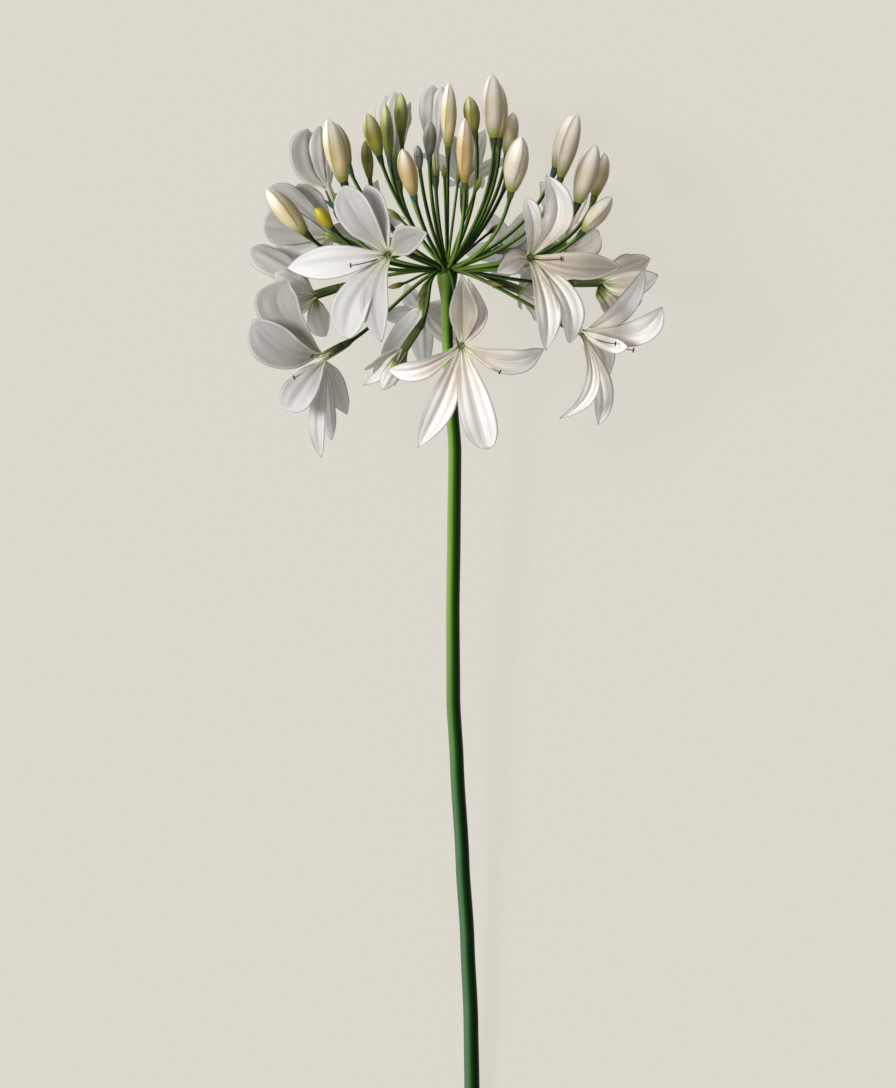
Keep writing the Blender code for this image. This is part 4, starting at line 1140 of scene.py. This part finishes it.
# It is painted like a petal this far up, and between two places that goes down to a petal's foot
LINING_GREEN = 0.21
GREEN_FROM, GREEN_TO = -1.0, -1.9


def add_lining(bm, throat, facing):
    """The funnel's inner wall: a turned profile, open at the mouth and closed at the foot."""
    turn = towards(facing)
    count = len(LINING) - 1

    def place(across, along):
        number = min(count - 1, int(along * count))
        share = along * count - number
        (z0, r0), (z1, r1) = LINING[number], LINING[number + 1]
        ahead = z0 + (z1 - z0) * share
        point = throat + facing * ahead + turn @ spoke(math.tau * across) * (r0 + (r1 - r0) * share)
        free = LINING_GREEN * (1 - smooth(GREEN_FROM, GREEN_TO, ahead))
        return point, {"grey": 0.0, "warm": 0.0, "edge": NO_MARGIN, "free": free}

    sheet(bm, LINING_SIDES, count, place)


RIPPLE_SEED = 3
USUAL_WARMTH = 0.1


def make_flowers():
    tissue = petal_tissue()
    stamen_skins = [
        stamen_material("filament_thread_tissue", "E8E4C8", "2A2620", 0.5),
        stamen_material("anther_pollen_sac", "8A7A3A", "14120F", 0.65),
    ]
    draw = random.Random(SEED)
    ripples = random.Random(RIPPLE_SEED)
    made = []
    for name, (throat, facing, petals) in BLOOMS.items():
        throat, facing = Vector(throat), Vector(facing).normalized()
        face = Vector(PETAL_FACES.get(name, facing)).normalized()
        bm = blank(*PETAL_MARKS)
        for line in petal_lines(name, throat, facing, petals, draw):
            add_petal(bm, throat, facing, face, line, WARMTH.get(name, USUAL_WARMTH), ripples)
        add_lining(bm, throat, facing)
        bmesh.ops.recalc_face_normals(bm, faces=bm.faces)
        flower = piece(bm, f"flower_{name}", [tissue], f"bloom_{name}")
        wall = flower.modifiers.new("Wall", "SOLIDIFY")
        wall.thickness = PETAL_THICKNESS * MM
        wall.offset = 0.0
        made.append(flower)
        made.append(make_stamens(name, throat, facing, stamen_skins))
    return made


print("flower and stamen faces", sum(len(obj.data.polygons) for obj in make_flowers()))

# %% [markdown]
# ## Table, light and camera
# The flower lies on a pale table that glows softly, like the light tables that plants are photographed
# on. That keeps the shadows faint and lets light through the thin petals. A soft key light comes from
# the left. The camera looks straight down on the leaning flower from far off with a long lens, as a
# botanical plate is drawn.

# %% Floor and light
TABLE_SIZE = 12.0
TABLE_GLOW = 0.919
KEY_STRENGTH = 3.1
KEY_SPREAD = math.radians(18)
KEY_FROM = (-0.60, -0.02, 0.80)
SKY_STRENGTH = 0.48


def make_floor():
    bm = bmesh.new()
    bmesh.ops.create_grid(bm, x_segments=2, y_segments=2, size=TABLE_SIZE)
    mesh = bpy.data.meshes.new("table_top")
    bm.to_mesh(mesh)
    bm.free()
    material, tree, shader, _ = new_material("table_top_paper")
    where = add(tree, "TexCoord").outputs["Object"]
    fibre = add(tree, "TexNoise", {"Vector": where, "Scale": 400.0})
    glow = add(tree, "ValToRGB", {"Fac": fibre}, {0.0: "DAD5CA", 1.0: "DFDAD0"})
    paper = add(tree, "ValToRGB", {"Fac": fibre}, {0.0: "3C3B3A", 1.0: "403F3E"})
    plug(shader, {"Base Color": paper, "Roughness": 0.9, "Specular IOR Level": 0.1})
    plug(shader, {"Emission Color": glow, "Emission Strength": TABLE_GLOW})
    mesh.materials.append(material)
    floor = bpy.data.objects.new("table_top", mesh)
    bpy.context.scene.collection.objects.link(floor)


def make_light():
    sun = bpy.data.lights.new("soft_key", "SUN")
    sun.energy = KEY_STRENGTH
    sun.angle = KEY_SPREAD
    lamp = bpy.data.objects.new("soft_key", sun)
    bpy.context.scene.collection.objects.link(lamp)
    lamp.rotation_mode = "QUATERNION"
    lamp.rotation_quaternion = Vector(KEY_FROM).to_track_quat("Z", "Y")
    world = bpy.data.worlds.new("studio")
    bpy.context.scene.world = world
    world.use_nodes = True
    sky = world.node_tree.nodes["Background"]
    plug(sky, {"Color": linear("F4F4F6"), "Strength": SKY_STRENGTH})


make_floor()
make_light()
bpy.context.scene.view_settings.view_transform = "Standard"

# %% Camera
VIEW_CENTRE = Vector((0.45, -123.3, 0.0))
FRAME_HEIGHT = 489.6
CAMERA_DISTANCE = 8000.0
SENSOR = 36.0
FAR_CLIP = 30.0


def make_camera():
    data = bpy.data.cameras.new("view")
    data.sensor_width = SENSOR
    data.lens = SENSOR * CAMERA_DISTANCE / FRAME_HEIGHT
    data.clip_end = FAR_CLIP
    camera = bpy.data.objects.new("view", data)
    bpy.context.scene.collection.objects.link(camera)
    stand = LYING @ (VIEW_CENTRE + Vector((0, 0, CAMERA_DISTANCE)))
    camera.location = stand * MM
    camera.rotation_euler = LYING.to_euler()
    bpy.context.scene.camera = camera
    return data


print("lens in mm", round(make_camera().lens))
